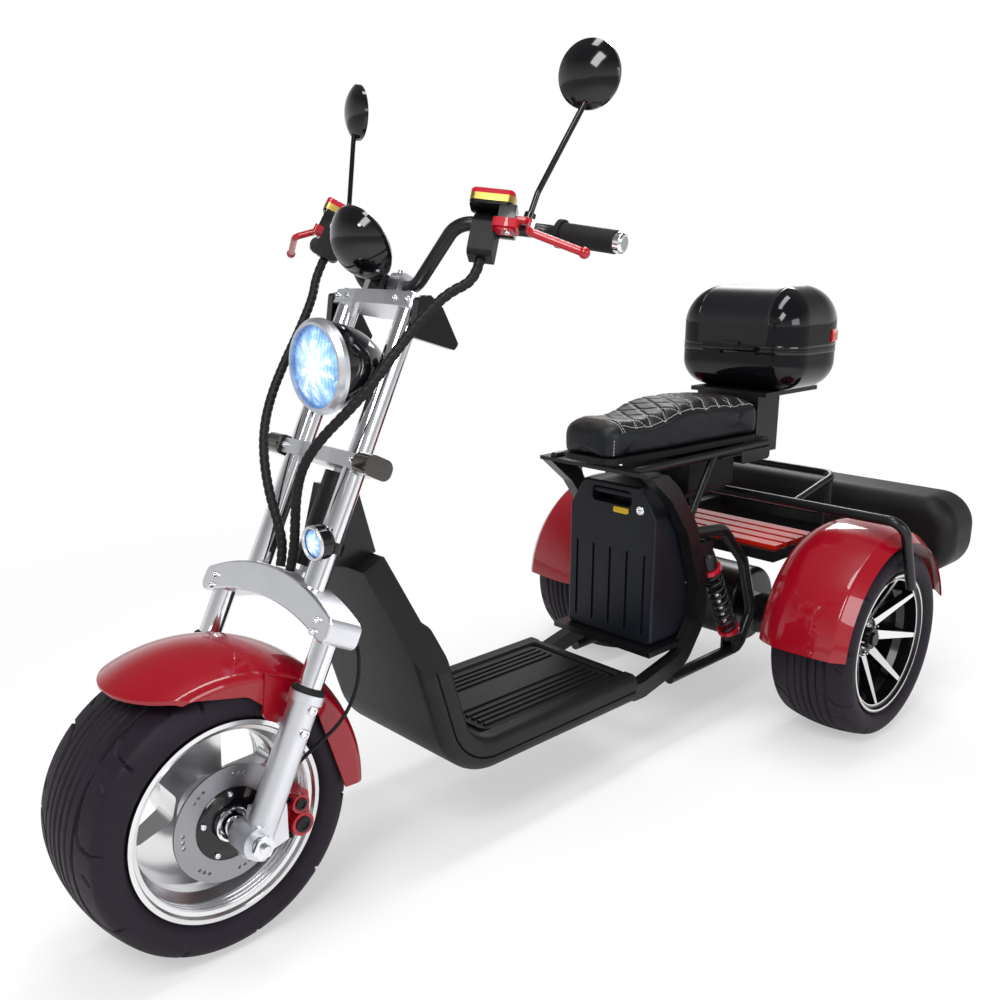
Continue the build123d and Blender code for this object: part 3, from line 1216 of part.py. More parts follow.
def top_case():
    """Hollow egg-shaped base and lid, hinged at the front."""
    base = Pos(0, 0, CASE_LOW) * extrude(case_plan(0), amount=CASE_SEAM - CASE_LOW)
    base = fillet(base.edges().group_by(Axis.Z)[0], CASE_BOTTOM_R)
    hollow = Pos(0, 0, CASE_LOW + CASE_FLOOR_T) * extrude(case_plan(-CASE_WALL), amount=CASE_HIGH)
    base -= fillet(hollow.edges().group_by(Axis.Z)[0], CASE_BOTTOM_R - CASE_WALL)
    third = HINGE_HALF_L / 3
    x = CASE_FRONT + HINGE_R + 1
    pin = cross_rod(x, CASE_SEAM, HINGE_PIN_R, -HINGE_HALF_L, HINGE_HALF_L)
    for side in (1, -1):
        y_range = sorted((side * third, side * HINGE_HALF_L))
        base += hinge_knuckle(*y_range, CASE_SEAM, -1)
    lid_low = CASE_SEAM + CASE_SEAM_GAP
    swing = cross_rod(x, CASE_SEAM, HINGE_R + 1.5, -third, third)
    base = base - swing + pin
    lid = Pos(0, 0, lid_low) * extrude(case_plan(0), amount=CASE_HIGH - lid_low)
    lid = fillet(lid.edges().group_by(Axis.Z)[-1], CASE_TOP_R)
    inside_h = CASE_HIGH - lid_low + 1 - CASE_FLOOR_T
    inside = Pos(0, 0, lid_low - 1) * extrude(case_plan(-CASE_WALL), amount=inside_h)
    lid -= fillet(inside.edges().group_by(Axis.Z)[-1], CASE_TOP_R - CASE_WALL)
    lid += hinge_knuckle(-third + 1, third - 1, CASE_SEAM, 1)
    for side in (1, -1):
        y_range = sorted((side * (third - 0.5), side * (HINGE_HALF_L + 2)))
        lid -= cross_rod(x, CASE_SEAM, HINGE_R + 1.5, *y_range)
    lid -= cross_rod(x, CASE_SEAM, HINGE_PIN_R + RUN_GAP, -HINGE_HALF_L, HINGE_HALF_L)
    return base, lid


def loom_start(side):
    """Where a loom leaves its switch box: straight down from the box's lower face."""
    seat = along_bar(BAR_KNEE, GRIP_IN, side)
    return [Vector(*(seat * Pos(0, side * (SWITCH_LOW + SEAT_GAP + drop), SWITCH_AT)).position)
            for drop in (0, LOOM_DROP)]


def cord(name, points, radius):
    """A loom or hose along its route, each bend as large as its two runs allow."""
    runs = [b - a for a, b in zip(points, points[1:])]
    bends = []
    for before, after in zip(runs, runs[1:]):
        half_turn = math.radians(before.get_angle(after)) / 2
        bends.append(0.45 * min(before.length, after.length) / math.tan(half_turn))
    print(name, "bends", [round(bend) for bend in bends])
    path = FilletPolyline(*points, radius=bends)
    return sweep(Plane(origin=path @ 0, z_dir=path % 0) * Circle(radius), path=path)


def build():
    """Makes every piece and writes it."""
    save("front_tyre", Pos(*FRONT_AXLE) * tyre(
        FRONT_TYRE_R, FRONT_TYRE_W, FRONT_RIM_R, FRONT_RIM_W))
    save("front_rim", Pos(*FRONT_AXLE) * front_rim())
    save("front_disc", Pos(*FRONT_AXLE) * brake_disc())
    left_wheel = Pos(0, TRACK / 2, REAR_TYRE_R)
    rubber = left_wheel * tyre(REAR_TYRE_R, REAR_TYRE_W, REAR_RIM_R, REAR_RIM_W)
    metal = left_wheel * rear_rim()
    save("rear_tyre_left", rubber)
    save("rear_tyre_right", mirrored(rubber))
    save("rear_rim_left", metal)
    save("rear_rim_right", mirrored(metal))
    save("front_axle", front_axle())
    save("front_fender", front_fender())
    save("front_caliper", front_caliper())
    save("fork_sliders", *fork_sliders())
    save("fork_stanchions", *fork_stanchions())
    save("upper_tubes", *upper_tubes())
    save("lower_yoke", lower_yoke())
    save("mid_yoke", mid_yoke())
    save("top_yoke", top_yoke())
    save("handlebar", handlebar())
    save("grips", *grips())
    save("bar_ends", *bar_ends())
    save("master_cylinders", *master_cylinders())
    save("brake_levers", *brake_levers())
    save("switch_housings", *switch_housings())
    heads, glasses = mirrors()
    save("mirrors", *heads)
    save("mirror_glass", *glasses)
    shell, ring, lens = headlight()
    save("headlight_shell", shell)
    save("headlight_ring", ring)
    save("headlight_lens", lens)
    save("fog_lamp", fog_lamp())
    save("front_indicators", *front_indicators())
    save("yoke_winglets", *winglets())
    save("dash", dash())
    left_route = loom_start(1) + [fork_point(*p) for p in LOOM_LEFT]
    right_route = loom_start(-1) + [fork_point(*p) for p in LOOM_RIGHT]
    save("looms", cord("left loom", left_route, LOOM_R), cord("right loom", right_route, LOOM_R))
    save("brake_hose", cord("brake hose", [fork_point(*p) for p in HOSE_FRONT], HOSE_R))
    save("deck", deck())
    save("deck_mat", deck_mat())
    save("neck", neck())
    save("battery_cradle", battery_cradle())
    save("battery_case", battery_case())
    save("controller_box", controller_box())
    save("rear_loops", *rear_loops())
    save("shocks", *shocks())
    save("rear_axle", rear_axle())
    save("drive_motor", drive_motor())
    save("carrier_frame", carrier_frame())
    save("tray_slats", *tray_slats())
    save("fender_bar", fender_bar())
    save("rear_rack", rear_rack())
    fender = rear_fender()
    save("rear_fender_left", fender)
    save("rear_fender_right", mirrored(fender))
    save("tail_housing", tail_housing())
    save("tail_lamps", *tail_lamps())
    save("seat_frame", seat_frame())
    save("seat_base", seat_base())
    save("seat", seat())
    save("tail_bracket", tail_bracket())
    base, lid = top_case()
    save("case_base", base)
    save("case_lid", lid)


os.makedirs("parts", exist_ok=True)
build()
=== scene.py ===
import json
import math

import bmesh
import bpy
import numpy as np
from mathutils import Matrix, Vector
from mathutils.bvhtree import BVHTree


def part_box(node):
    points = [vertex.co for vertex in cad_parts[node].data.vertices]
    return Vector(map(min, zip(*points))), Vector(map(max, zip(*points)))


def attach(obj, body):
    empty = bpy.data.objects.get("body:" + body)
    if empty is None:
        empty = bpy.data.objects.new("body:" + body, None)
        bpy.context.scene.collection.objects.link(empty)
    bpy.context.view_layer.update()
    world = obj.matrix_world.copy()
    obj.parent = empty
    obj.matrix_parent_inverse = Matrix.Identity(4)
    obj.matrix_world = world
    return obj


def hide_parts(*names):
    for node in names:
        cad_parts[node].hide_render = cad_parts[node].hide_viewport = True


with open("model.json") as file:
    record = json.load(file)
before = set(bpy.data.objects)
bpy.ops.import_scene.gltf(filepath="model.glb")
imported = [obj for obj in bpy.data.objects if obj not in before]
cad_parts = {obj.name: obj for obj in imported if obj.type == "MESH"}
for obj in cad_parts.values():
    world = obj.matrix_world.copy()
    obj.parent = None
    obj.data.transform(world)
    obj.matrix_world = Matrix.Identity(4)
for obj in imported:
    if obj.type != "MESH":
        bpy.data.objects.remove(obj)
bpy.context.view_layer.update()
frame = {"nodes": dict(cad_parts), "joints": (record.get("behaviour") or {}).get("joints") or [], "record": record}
NODES = frame["nodes"]
JOINTS = {joint["name"]: joint for joint in frame["joints"]}

# Lengths are in millimetres where a name or a table holds them, and in metres in the frame
MM = 0.001
FRONT_AXLE = Vector(JOINTS["front_wheel_spin"]["pos_m"])
REAR_AXLE = Vector(JOINTS["rear_left_spin"]["pos_m"])
HINGE = Vector(JOINTS["case_lid_hinge"]["pos_m"])
SIDE = Vector((0, 1, 0))
STEER_OFFSET = 42.0
STEER_POINT_U = 120.0
FORK_UP = Vector(JOINTS["steering_turn"]["axis"]).normalized()
FORK_AHEAD = Vector((FORK_UP.z, 0, -FORK_UP.x))
FORK_ORIGIN = (Vector(JOINTS["steering_turn"]["pos_m"])
               + (FORK_AHEAD * STEER_OFFSET - FORK_UP * STEER_POINT_U) * MM)

# The camera of the photograph
CAMERA_AT = (1.4805, 1.341, 1.0485)
CAMERA_AZIMUTH = 136.75
CAMERA_ELEVATION = 14.72
LENS = 36.4
SHIFT = (0.018, 0.021)


def at(x, y, z):
    """A point given by its distance ahead of the rear axle, to the left and above the floor."""
    return Vector((REAR_AXLE.x + x * MM, y * MM, z * MM))


def fork_at(f, y, u):
    """A point of the raked fork's own frame: ahead, left, up along the legs."""
    return FORK_ORIGIN + (FORK_AHEAD * f + FORK_UP * u) * MM + SIDE * y * MM


# Materials
def add_node(tree, kind, inputs, **settings):
    """Adds a shader node; its inputs are numbers or other nodes' outputs."""
    made = tree.nodes.new("ShaderNode" + kind)
    for key, value in settings.items():
        setattr(made, key, value)
    for key, value in inputs.items():
        if isinstance(value, bpy.types.NodeSocket):
            tree.links.new(value, made.inputs[key])
        else:
            made.inputs[key].default_value = value
    return made


class Look:
    """A node material round one Principled shader, textured in the part's own frame."""

    def __init__(self, name, colour, roughness, metallic=0.0, specular=0.5, **sockets):
        self.material = bpy.data.materials.new(name)
        self.material.use_nodes = True
        self.links = self.material.node_tree.links
        self.shader = self.material.node_tree.nodes["Principled BSDF"]
        self.colour = colour
        self.coords = self.node("TexCoord", {})
        self.place = self.coords.outputs["Object"]
        self.shader.inputs["Base Color"].default_value = (*colour, 1)
        self.shader.inputs["Roughness"].default_value = roughness
        self.shader.inputs["Metallic"].default_value = metallic
        self.shader.inputs["Specular IOR Level"].default_value = specular
        for key, value in sockets.items():
            self.shader.inputs[key.replace("_", " ").title()].default_value = value

    def node(self, kind, inputs, **settings):
        """Adds a node to this material."""
        return add_node(self.material.node_tree, kind, inputs, **settings)

    def noise(self, scale, detail=3.0, stretch=None):
        """Cloudy noise, stretched along an axis if wanted."""
        vector = self.place
        if stretch:
            vector = self.node("Mapping", {"Vector": vector, "Scale": stretch}).outputs[0]
        made = self.node("TexNoise", {"Vector": vector, "Scale": scale, "Detail": detail})
        return made.outputs["Fac"]

    def cells(self, scale, feature="F1"):
        """Rounded cells, as in leather grain or moulded texture."""
        made = self.node("TexVoronoi", {"Vector": self.place, "Scale": scale}, feature=feature)
        return made.outputs["Distance"]

    def math(self, operation, a, b=0.0):
        """One step of arithmetic on values."""
        return self.node("Math", {0: a, 1: b}, operation=operation).outputs[0]

    def spread(self, value, low, high, to_low=0.0, to_high=1.0):
        """Maps a range of values on another, held at its ends."""
        made = self.node("MapRange", {"Value": value, "From Min": low, "From Max": high,
                                      "To Min": to_low, "To Max": to_high})
        return made.outputs[0]

    def part_of(self, axis, socket=None):
        """One coordinate of the place, or of another vector."""
        split = self.node("SeparateXYZ", {0: socket or self.place})
        return split.outputs[axis]

    def radius_from(self, centre, keep=(1, 0, 1)):
        """Distance from an axle through a point; the kept axes are those across it."""
        shift = [-c * k for c, k in zip(centre, keep)]
        moved = self.node("Mapping", {"Vector": self.place, "Location": shift, "Scale": keep})
        return self.node("VectorMath", {0: moved.outputs[0]}, operation="LENGTH").outputs["Value"]

    def tint(self, factor, other, base=None):
        """Mixes another colour in by a factor; calls can follow each other."""
        made = self.node("Mix", {0: factor}, data_type="RGBA")
        if self.shader.inputs["Base Color"].is_linked:
            self.links.new(self.shader.inputs["Base Color"].links[0].from_socket, made.inputs[6])
        else:
            made.inputs[6].default_value = (*(base or self.colour), 1)
        made.inputs[7].default_value = (*other, 1)
        self.links.new(made.outputs[2], self.shader.inputs["Base Color"])
        return self

    def folds(self, value, rate):
        """A zigzag between 0 and a half, at a rate per unit of the value."""
        return self.math("PINGPONG", self.math("MULTIPLY", value, rate), 0.5)

    def rings(self, radius, scale, detail):
        """Fine circles about an axle, as a lathe leaves them."""
        made = self.node("TexNoise", {"W": radius, "Scale": scale, "Detail": detail}, noise_dimensions="1D")
        return made.outputs["Fac"]

    def mottle(self, scale, detail, low, high, share, other):
        """Clouds of another colour, from none of it to a share."""
        return self.tint(self.spread(self.noise(scale, detail), low, high, 0, share), other)

    def rough(self, factor, low, high):
        """Roughness between two values by a factor."""
        self.links.new(self.spread(factor, 0, 1, low, high), self.shader.inputs["Roughness"])
        return self

    def metal(self, factor):
        """Metal where the factor is 1."""
        self.links.new(factor, self.shader.inputs["Metallic"])
        return self

    def bump(self, height, depth, strength=1.0):
        """Relief of a depth in millimetres; calls can follow each other."""
        made = self.node("Bump", {"Height": height, "Distance": depth * MM, "Strength": strength})
        socket = self.shader.inputs["Normal"]
        if socket.is_linked:
            self.links.new(socket.links[0].from_socket, made.inputs["Normal"])
        self.links.new(made.outputs[0], socket)
        return self


def candy_red(name="candy_red", colour=(0.29, 0.001, 0.01)):
    """Deep red lacquer under a clear coat, with fine flake."""
    look = Look(name, colour, 0.28, specular=0.15, coat_weight=0.8, coat_roughness=0.025)
    look.mottle(5, 2, 0.35, 0.7, 0.35, [0.6 * c for c in colour])
    look.rough(look.noise(1400, 2), 0.22, 0.36)
    return look.bump(look.noise(900, 2), 0.02, 0.25)


def black_paint():
    """Powder-coated tube: satin, with a faint orange peel."""
    look = Look("black_paint", (0.004, 0.004, 0.005), 0.34, specular=0.3,
                coat_weight=0.2, coat_roughness=0.2)
    look.mottle(60, 4, 0.45, 0.75, 0.5, (0.008, 0.008, 0.01))
    look.rough(look.noise(180, 3), 0.26, 0.44)
    return look.bump(look.noise(520, 2), 0.05, 0.35)


def black_plastic(name="black_plastic", colour=(0.005, 0.005, 0.006), rough=(0.42, 0.6)):
    """Moulded plastic with a fine leather-like grain."""
    look = Look(name, colour, 0.5, specular=0.25)
    look.mottle(14, 5, 0.4, 0.75, 0.5, [2.0 * c for c in colour])
    look.rough(look.noise(240, 3), *rough)
    return look.bump(look.cells(1500), 0.06, 0.5)


def gloss_black():
    """Lacquered black plastic."""
    look = Look("gloss_black", (0.003, 0.003, 0.004), 0.1, specular=0.3,
                coat_weight=0.35, coat_roughness=0.03)
    look.mottle(9, 4, 0.45, 0.8, 0.6, (0.006, 0.006, 0.008))
    return look.rough(look.noise(400, 3), 0.07, 0.16)


def brushed(name, colour, rough, stretch, depth=0.03):
    """Metal with the fine lines of a brush along one direction."""
    look = Look(name, colour, rough[0], 1.0)
    lines = look.noise(160, 4, stretch)
    look.mottle(8, 4, 0.35, 0.75, 0.5, [0.72 * c for c in colour])
    look.rough(lines, *rough)
    return look.bump(lines, depth, 0.3)


def chrome():
    """Bright plating with faint wiping marks."""
    look = Look("bright_chrome", (0.8, 0.81, 0.84), 0.08, 1.0)
    look.mottle(30, 4, 0.5, 0.8, 0.4, (0.6, 0.61, 0.66))
    return look.rough(look.noise(70, 5), 0.05, 0.17)


def lathe_turned():
    """Polished alloy of the front wheel, with the rings of the lathe."""
    look = Look("polished_alloy", (0.78, 0.78, 0.79), 0.2, 1.0)
    rings = look.rings(look.radius_from(FRONT_AXLE), 900.0, 3.0)
    look.mottle(7, 4, 0.4, 0.75, 0.5, (0.56, 0.56, 0.58))
    look.rough(rings, 0.12, 0.3)
    return look.bump(rings, 0.04, 0.3)


def machined_black(side):
    """Gloss black wheel whose outer faces are cut bright."""
    centre = (REAR_AXLE.x, side * REAR_AXLE.y, REAR_AXLE.z)
    name = "black_alloy_left" if side > 0 else "black_alloy_right"
    look = Look(name, (0.004, 0.004, 0.005), 0.14, specular=0.35, coat_weight=0.3, coat_roughness=0.05)
    radius = look.radius_from(centre)
    outward = look.math("MULTIPLY", look.part_of(1, look.coords.outputs["Normal"]), side)
    face = look.spread(outward, 0.8, 0.84)
    from_lip = look.math("ABSOLUTE", look.math("SUBTRACT", radius, 0.1535))
    lip_line = look.spread(from_lip, 0.0016, 0.0022, 1, 0)
    in_spokes = look.spread(radius, 0.143, 0.145, 1, 0)
    bright = look.math("MULTIPLY", face, look.math("MAXIMUM", in_spokes, lip_line))
    look.tint(bright, (0.8, 0.8, 0.8))
    look.metal(bright)
    cut = look.rings(radius, 1200.0, 2.0)
    look.rough(cut, 0.1, 0.26)
    return look.bump(cut, 0.03, 0.25)


def rubber(name, colour, grain=900, rough=(0.5, 0.72), depth=0.08):
    """Matt rubber with bloom and a fine mould texture."""
    look = Look(name, colour, 0.6, specular=0.25)
    look.mottle(11, 5, 0.4, 0.75, 0.6, [1.8 * c for c in colour])
    look.rough(look.noise(90, 4), *rough)
    return look.bump(look.noise(grain, 3), depth, 0.5)


def leather():
    """Black vinyl leather with a pebbled grain, and a painted sheen: faces that look upward are tinted
    greyish-brown.
    """
    look = Look("seat_leather", (0.005, 0.006, 0.009), 0.42, specular=0.3)
    # painted sheen: the upward-facing top is tinted lighter, greyish-brown
    top = look.spread(look.part_of(2, look.coords.outputs["Normal"]), 0.55, 0.85)
    look.tint(top, (0.018, 0.015, 0.014))
    look.mottle(18, 4, 0.5, 0.8, 0.4, (0.011, 0.011, 0.013))
    look.rough(look.noise(120, 4), 0.36, 0.54)
    look.bump(look.cells(750, "SMOOTH_F1"), 0.22, 0.55)
    return look.bump(look.noise(70, 3), 0.5, 0.25)


def lit_lens(name, centre, radius, sectors):
    """A lamp that is on: bluish white, with flutes, a cross of prisms and a bright bulb."""
    look = Look(name, (0.2, 0.34, 0.62), 0.08, coat_weight=1.0, coat_roughness=0.02)
    moved = look.node("Mapping", {"Vector": look.place, "Location": [-c / radius for c in centre],
                                  "Scale": [1 / radius] * 3}).outputs[0]
    y, z = look.part_of(1, moved), look.part_of(2, moved)
    flat = look.node("CombineXYZ", {"Y": y, "Z": z}).outputs[0]
    out = look.node("VectorMath", {0: flat}, operation="LENGTH").outputs["Value"]
    angle = look.math("ARCTAN2", z, y)
    fan = look.folds(angle, sectors / math.tau)
    prisms = look.node("TexVoronoi", {"Vector": flat, "Scale": 7.0}, distance="CHEBYCHEV").outputs["Color"]
    block = look.part_of(0, prisms)
    flutes = look.folds(y, 9.0)
    glow = look.math("ADD", look.math("MULTIPLY", look.spread(out, 0.1, 1.0, 1, 0), 0.75),
                     look.math("MULTIPLY", look.math("MULTIPLY", fan, block), 1.5))
    glow = look.math("ADD", glow, look.math("MULTIPLY", flutes, 0.35))
    glow = look.math("MULTIPLY", glow, look.spread(out, 0.86, 1.0, 1, 0.45))
    ramp = look.node("ValToRGB", {"Fac": glow})
    stops = ((0.08, (0.07, 0.18, 0.45)), (0.45, (0.24, 0.48, 0.85)),
             (0.85, (0.62, 0.82, 1.0)), (1.0, (1, 1, 1)))
    while len(ramp.color_ramp.elements) < len(stops):
        ramp.color_ramp.elements.new(0.5)
    for stop, (where, colour) in zip(ramp.color_ramp.elements, stops):
        stop.position, stop.color = where, (*colour, 1)
    look.links.new(ramp.outputs[0], look.shader.inputs["Base Color"])
    look.links.new(ramp.outputs[0], look.shader.inputs["Emission Color"])
    look.shader.inputs["Emission Strength"].default_value = 0.55
    return look.bump(flutes, 1.2, 0.5)


def lamp_plastic(name, colour, glow=0.0):
    """Moulded lens with rows of small prisms."""
    look = Look(name, colour, 0.12, coat_weight=1.0, coat_roughness=0.03)
    rows = look.folds(look.part_of(2), 240.0)
    columns = look.folds(look.part_of(1), 180.0)
    grid = look.math("MULTIPLY", rows, columns)
    look.tint(look.spread(grid, 0.02, 0.2, 0, 0.6), [1.7 * c for c in colour])
    look.shader.inputs["Emission Color"].default_value = (*colour, 1)
    look.shader.inputs["Emission Strength"].default_value = glow
    return look.bump(grid, 0.5, 0.5)


def mirror_face():
    """Silvered glass with faint smears."""
    look = Look("mirror_face", (0.82, 0.84, 0.86), 0.02, 1.0)
    return look.rough(look.noise(40, 4), 0.015, 0.05)


def two_finish_case():
    """Top case: a satin panel across front and top, glossy ends, grooves between them."""
    look = Look("case_black", (0.003, 0.003, 0.0045), 0.12, specular=0.35)
    across = look.math("ABSOLUTE", look.part_of(1))
    ahead = look.spread(look.part_of(0), HINGE.x - 0.215, HINGE.x - 0.205)
    panel = look.math("MULTIPLY", look.spread(across, 0.0915, 0.0935, 1, 0), ahead)
    above = look.spread(look.part_of(2), HINGE.z + 0.002, HINGE.z + 0.004)
    panel = look.math("MULTIPLY", panel, above)
    groove = look.math("ABSOLUTE", look.math("SUBTRACT", across, 0.0925))
    groove = look.math("MULTIPLY", look.spread(groove, 0.0012, 0.0026, 1, 0), above)
    look.tint(panel, (0.007, 0.007, 0.009))
    look.rough(look.math("ADD", panel, look.math("MULTIPLY", look.noise(300, 3), 0.1)), 0.06, 0.34)
    look.bump(look.math("MULTIPLY", groove, -1.0), 1.2, 0.8)
    return look.bump(look.math("MULTIPLY", look.noise(700, 2), panel), 0.05, 0.4)


def steel_disc():
    """Ground brake disc with fine circular scratches."""
    look = Look("steel_disc", (0.34, 0.34, 0.36), 0.3, 1.0)
    rings = look.rings(look.radius_from(FRONT_AXLE), 1500.0, 4.0)
    look.tint(look.spread(rings, 0.4, 0.65, 0, 0.6), (0.2, 0.2, 0.22))
    look.rough(rings, 0.26, 0.46)
    return look.bump(rings, 0.04, 0.35)


def thread():
    """Twisted silver thread."""
    look = Look("silver_thread", (0.55, 0.54, 0.5), 0.5)
    twist = look.noise(1600, 2)
    look.tint(look.spread(twist, 0.4, 0.65), (0.36, 0.35, 0.32))
    return look.bump(twist, 0.2, 0.6)


headlight_low, headlight_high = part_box("headlight_lens")
LAMP_CENTRE = (headlight_low + headlight_high) / 2
LAMP_R = (headlight_high.z - headlight_low.z) / 2
FOG_CENTRE = fork_at(54, 113, 84)
FOG_GLASS_R = 22.0

LOOKS = {
    "candy_red": candy_red(),
    "tray_red": candy_red("tray_red", (0.5, 0.012, 0.006)),
    "lever_red": candy_red("lever_red", (0.4, 0.004, 0.016)),
    "black_paint": black_paint(),
    "black_plastic": black_plastic(),
    "apron_plastic": black_plastic("apron_plastic", (0.006, 0.006, 0.007), (0.36, 0.56)),
    "battery_shell": black_plastic("battery_shell", (0.005, 0.006, 0.01), (0.32, 0.5)),
    "gloss_black": gloss_black(),
    "satin_silver": brushed("satin_silver", (0.74, 0.75, 0.79), (0.26, 0.44), (6, 0.5, 6)),
    "bright_chrome": chrome(),
    "polished_alloy": lathe_turned(),
    "black_alloy_left": machined_black(1),
    "black_alloy_right": machined_black(-1),
    "steel_disc": steel_disc(),
    "tyre_rubber": rubber("tyre_rubber", (0.009, 0.005, 0.011), 700),
    "grip_rubber": rubber("grip_rubber", (0.005, 0.005, 0.006)),
    "mat_rubber": rubber("mat_rubber", (0.006, 0.006, 0.007), 1200, (0.42, 0.62)),
    "seat_leather": leather(),
    "lamp_glass": lit_lens("lamp_glass", LAMP_CENTRE, LAMP_R, 10),
    "fog_glass": lit_lens("fog_glass", FOG_CENTRE, FOG_GLASS_R * MM, 8),
    # lamp_red glows faintly; on the case reflectors, which are no lamp, this glow is painted light
    "lamp_red": lamp_plastic("lamp_red", (0.5, 0.008, 0.006), 0.15),
    "dark_lamp": lamp_plastic("dark_lamp", (0.02, 0.016, 0.014)),
    "mirror_face": mirror_face(),
    "reservoir_gold": brushed("reservoir_gold", (0.55, 0.4, 0.1), (0.22, 0.4), (1, 1, 8)),
    "case_black": two_finish_case(),
    "thread": thread(),
    "latch_yellow": black_plastic("latch_yellow", (0.55, 0.36, 0.02), (0.3, 0.5)),
    "black_alloy_dark": brushed("black_alloy_dark", (0.03, 0.03, 0.034), (0.25, 0.4), (1, 1, 1)),
}
MATERIALS = {name: look.material for name, look in LOOKS.items()}

# Nodes whose finish isn't the one that their record slot names
OTHER_FINISH = {
    "deck": "apron_plastic", "rear_rim_left": "black_alloy_left", "rear_rim_right": "black_alloy_right",
    "case_lid": "case_black", "case_base": "case_black", "brake_levers": "lever_red",
    "headlight_ring": "satin_silver", "front_caliper": "lever_red", "mirrors": "gloss_black",
    "seat_base": "black_plastic", "controller_box": "black_plastic", "master_cylinders": "gloss_black",
}
for part in frame["record"]["subparts"]:
    node = NODES[part["node"]]
    node.data.materials.clear()
    node.data.materials.append(MATERIALS[OTHER_FINISH.get(part["node"], part["material_slot"])])


# Mesh building
class Shape:
    """Vertices and faces gathered for one piece, in metres."""

    def __init__(self):
        self.verts, self.faces = [], []

    def add(self, verts, faces, place=None):
        base = len(self.verts)
        moved = [place @ Vector(v) for v in verts] if place else [Vector(v) for v in verts]
        self.verts += moved
        self.faces += [[base + i for i in face] for face in faces]
        return self

    def make(self, name, look, body, slot=None, sharp=38.0):
        """Makes the object, smooth but for its sharp edges; the slot argument is not used."""
        mesh = bpy.data.meshes.new(name)
        mesh.from_pydata(self.verts, [], self.faces)
        return finish_piece(mesh, name, look, body, sharp)


def finish_piece(mesh, name, look, body, sharp):
    """Makes a piece of a mesh and hands it to its body."""
    made = bmesh.new()
    made.from_mesh(mesh)
    bmesh.ops.recalc_face_normals(made, faces=made.faces)
    made.to_mesh(mesh)
    made.free()
    mesh.shade_smooth()
    mesh.set_sharp_from_angle(angle=math.radians(sharp))
    mesh.materials.append(MATERIALS[look])
    piece = bpy.data.objects.new(name, mesh)
    bpy.context.scene.collection.objects.link(piece)
    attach(piece, body)
    return piece


def facing(origin, direction, roll=None):
    """A placement whose Z looks along a direction, with X near a wanted roll."""
    z = Vector(direction).normalized()
    near = Vector(roll) if roll else (Vector((1, 0, 0)) if abs(z.x) < 0.9 else Vector((0, 0, 1)))
    x = (near - z * near.dot(z)).normalized()
    y = z.cross(x)
    return Matrix.Translation(origin) @ Matrix((x, y, z)).transposed().to_4x4()


def skin(rows, count, closed=False, round_rows=True):
    """Quads between rows of points that follow each other; a closed stack joins its last to its first."""
    faces = []
    for k in range(rows if closed else rows - 1):
        a, b = k * count, (k + 1) % rows * count
        for i in range(count if round_rows else count - 1):
            j = (i + 1) % count
            faces.append((a + i, a + j, b + j, b + i))
    return faces


def end_caps(rows, count):
    """The two faces that close a stack of rows."""
    return [list(range(count))[::-1], [(rows - 1) * count + i for i in range(count)]]


def circles(profile, count):
    """Points round Z from (radius, height) in millimetres."""
    turns = [math.tau * i / count for i in range(count)]
    return [(radius * MM * math.cos(turn), radius * MM * math.sin(turn), height * MM)
            for radius, height in profile for turn in turns]


def lathe(profile, count=32):
    """A turned form about Z, closed at both ends."""
    rows = len(profile)
    return circles(profile, count), skin(rows, count) + end_caps(rows, count)


def ring(profile, count=48):
    """A turned ring about Z from a closed loop of (radius, height)."""
    return circles(profile, count), skin(len(profile), count, closed=True)


def prism(outline, low, high):
    """A flat outline in millimetres made solid along Z."""
    count = len(outline)
    verts = [(x * MM, y * MM, h * MM) for h in (low, high) for x, y in outline]
    return verts, skin(2, count) + end_caps(2, count)


def corner_arcs(corners, steps):
    """An outline of four quarter circles, each given by its centre and radius."""
    outline = []
    for quarter, (x, y, radius) in enumerate(corners):
        for i in range(steps + 1):
            turn = math.pi / 2 * (quarter + i / steps)
            outline.append((x + radius * math.cos(turn), y + radius * math.sin(turn)))
    return outline


def rounded(half_x, half_y, corner, steps=6):
    """A rectangle with round corners, as an outline about the middle."""
    x, y = half_x - corner, half_y - corner
    return corner_arcs(((x, y, corner), (-x, y, corner), (-x, -y, corner), (x, -y, corner)), steps)


def around(count, radius, start=0.0):
    """Steps from an axle that lies across the scooter to points evenly round it."""
    turns = [math.tau * i / count + start for i in range(count)]
    return [Vector((math.cos(turn), 0, math.sin(turn))) * radius * MM for turn in turns]


def swept(points, radius, sides=16):
    """A round bar along points in metres; the radius in millimetres may be a function of (run, angle)."""
    points = [Vector(p) for p in points]
    run = [0.0]
    for a, b in zip(points, points[1:]):
        run.append(run[-1] + (b - a).length)
    verts = []
    ahead = (points[1] - points[0]).normalized()
    across = ahead.orthogonal().normalized()
    for i, point in enumerate(points):
        after, before = points[min(i + 1, len(points) - 1)], points[max(i - 1, 0)]
        heading = (after - before).normalized()
        across = (ahead.rotation_difference(heading) @ across).normalized()
        ahead = heading
        other = ahead.cross(across)
        for k in range(sides):
            turn = math.tau * k / sides
            size = radius(run[i], turn) if callable(radius) else radius
            verts.append(point + (across * math.cos(turn) + other * math.sin(turn)) * size * MM)
    return verts, skin(len(points), sides) + end_caps(len(points), sides)


def bolt(radius, height):
    """A socket-head screw that stands on Z = 0."""
    return lathe([(radius, -1), (radius, height * 0.75), (radius * 0.86, height), (radius * 0.55, height),
                  (radius * 0.5, height * 0.5), (radius * 0.05, height * 0.45)], 18)


def hex_nut(radius, height, hole):
    """A six-sided nut with a rounded stud end."""
    corner = [(radius * math.cos(math.tau * i / 6), radius * math.sin(math.tau * i / 6)) for i in range(6)]
    shape = Shape().add(*prism(corner, 0, height))
    shape.add(*lathe([(hole, height - 1), (hole, height + 4), (hole * 0.7, height + 6)], 18))
    return shape.verts, shape.faces


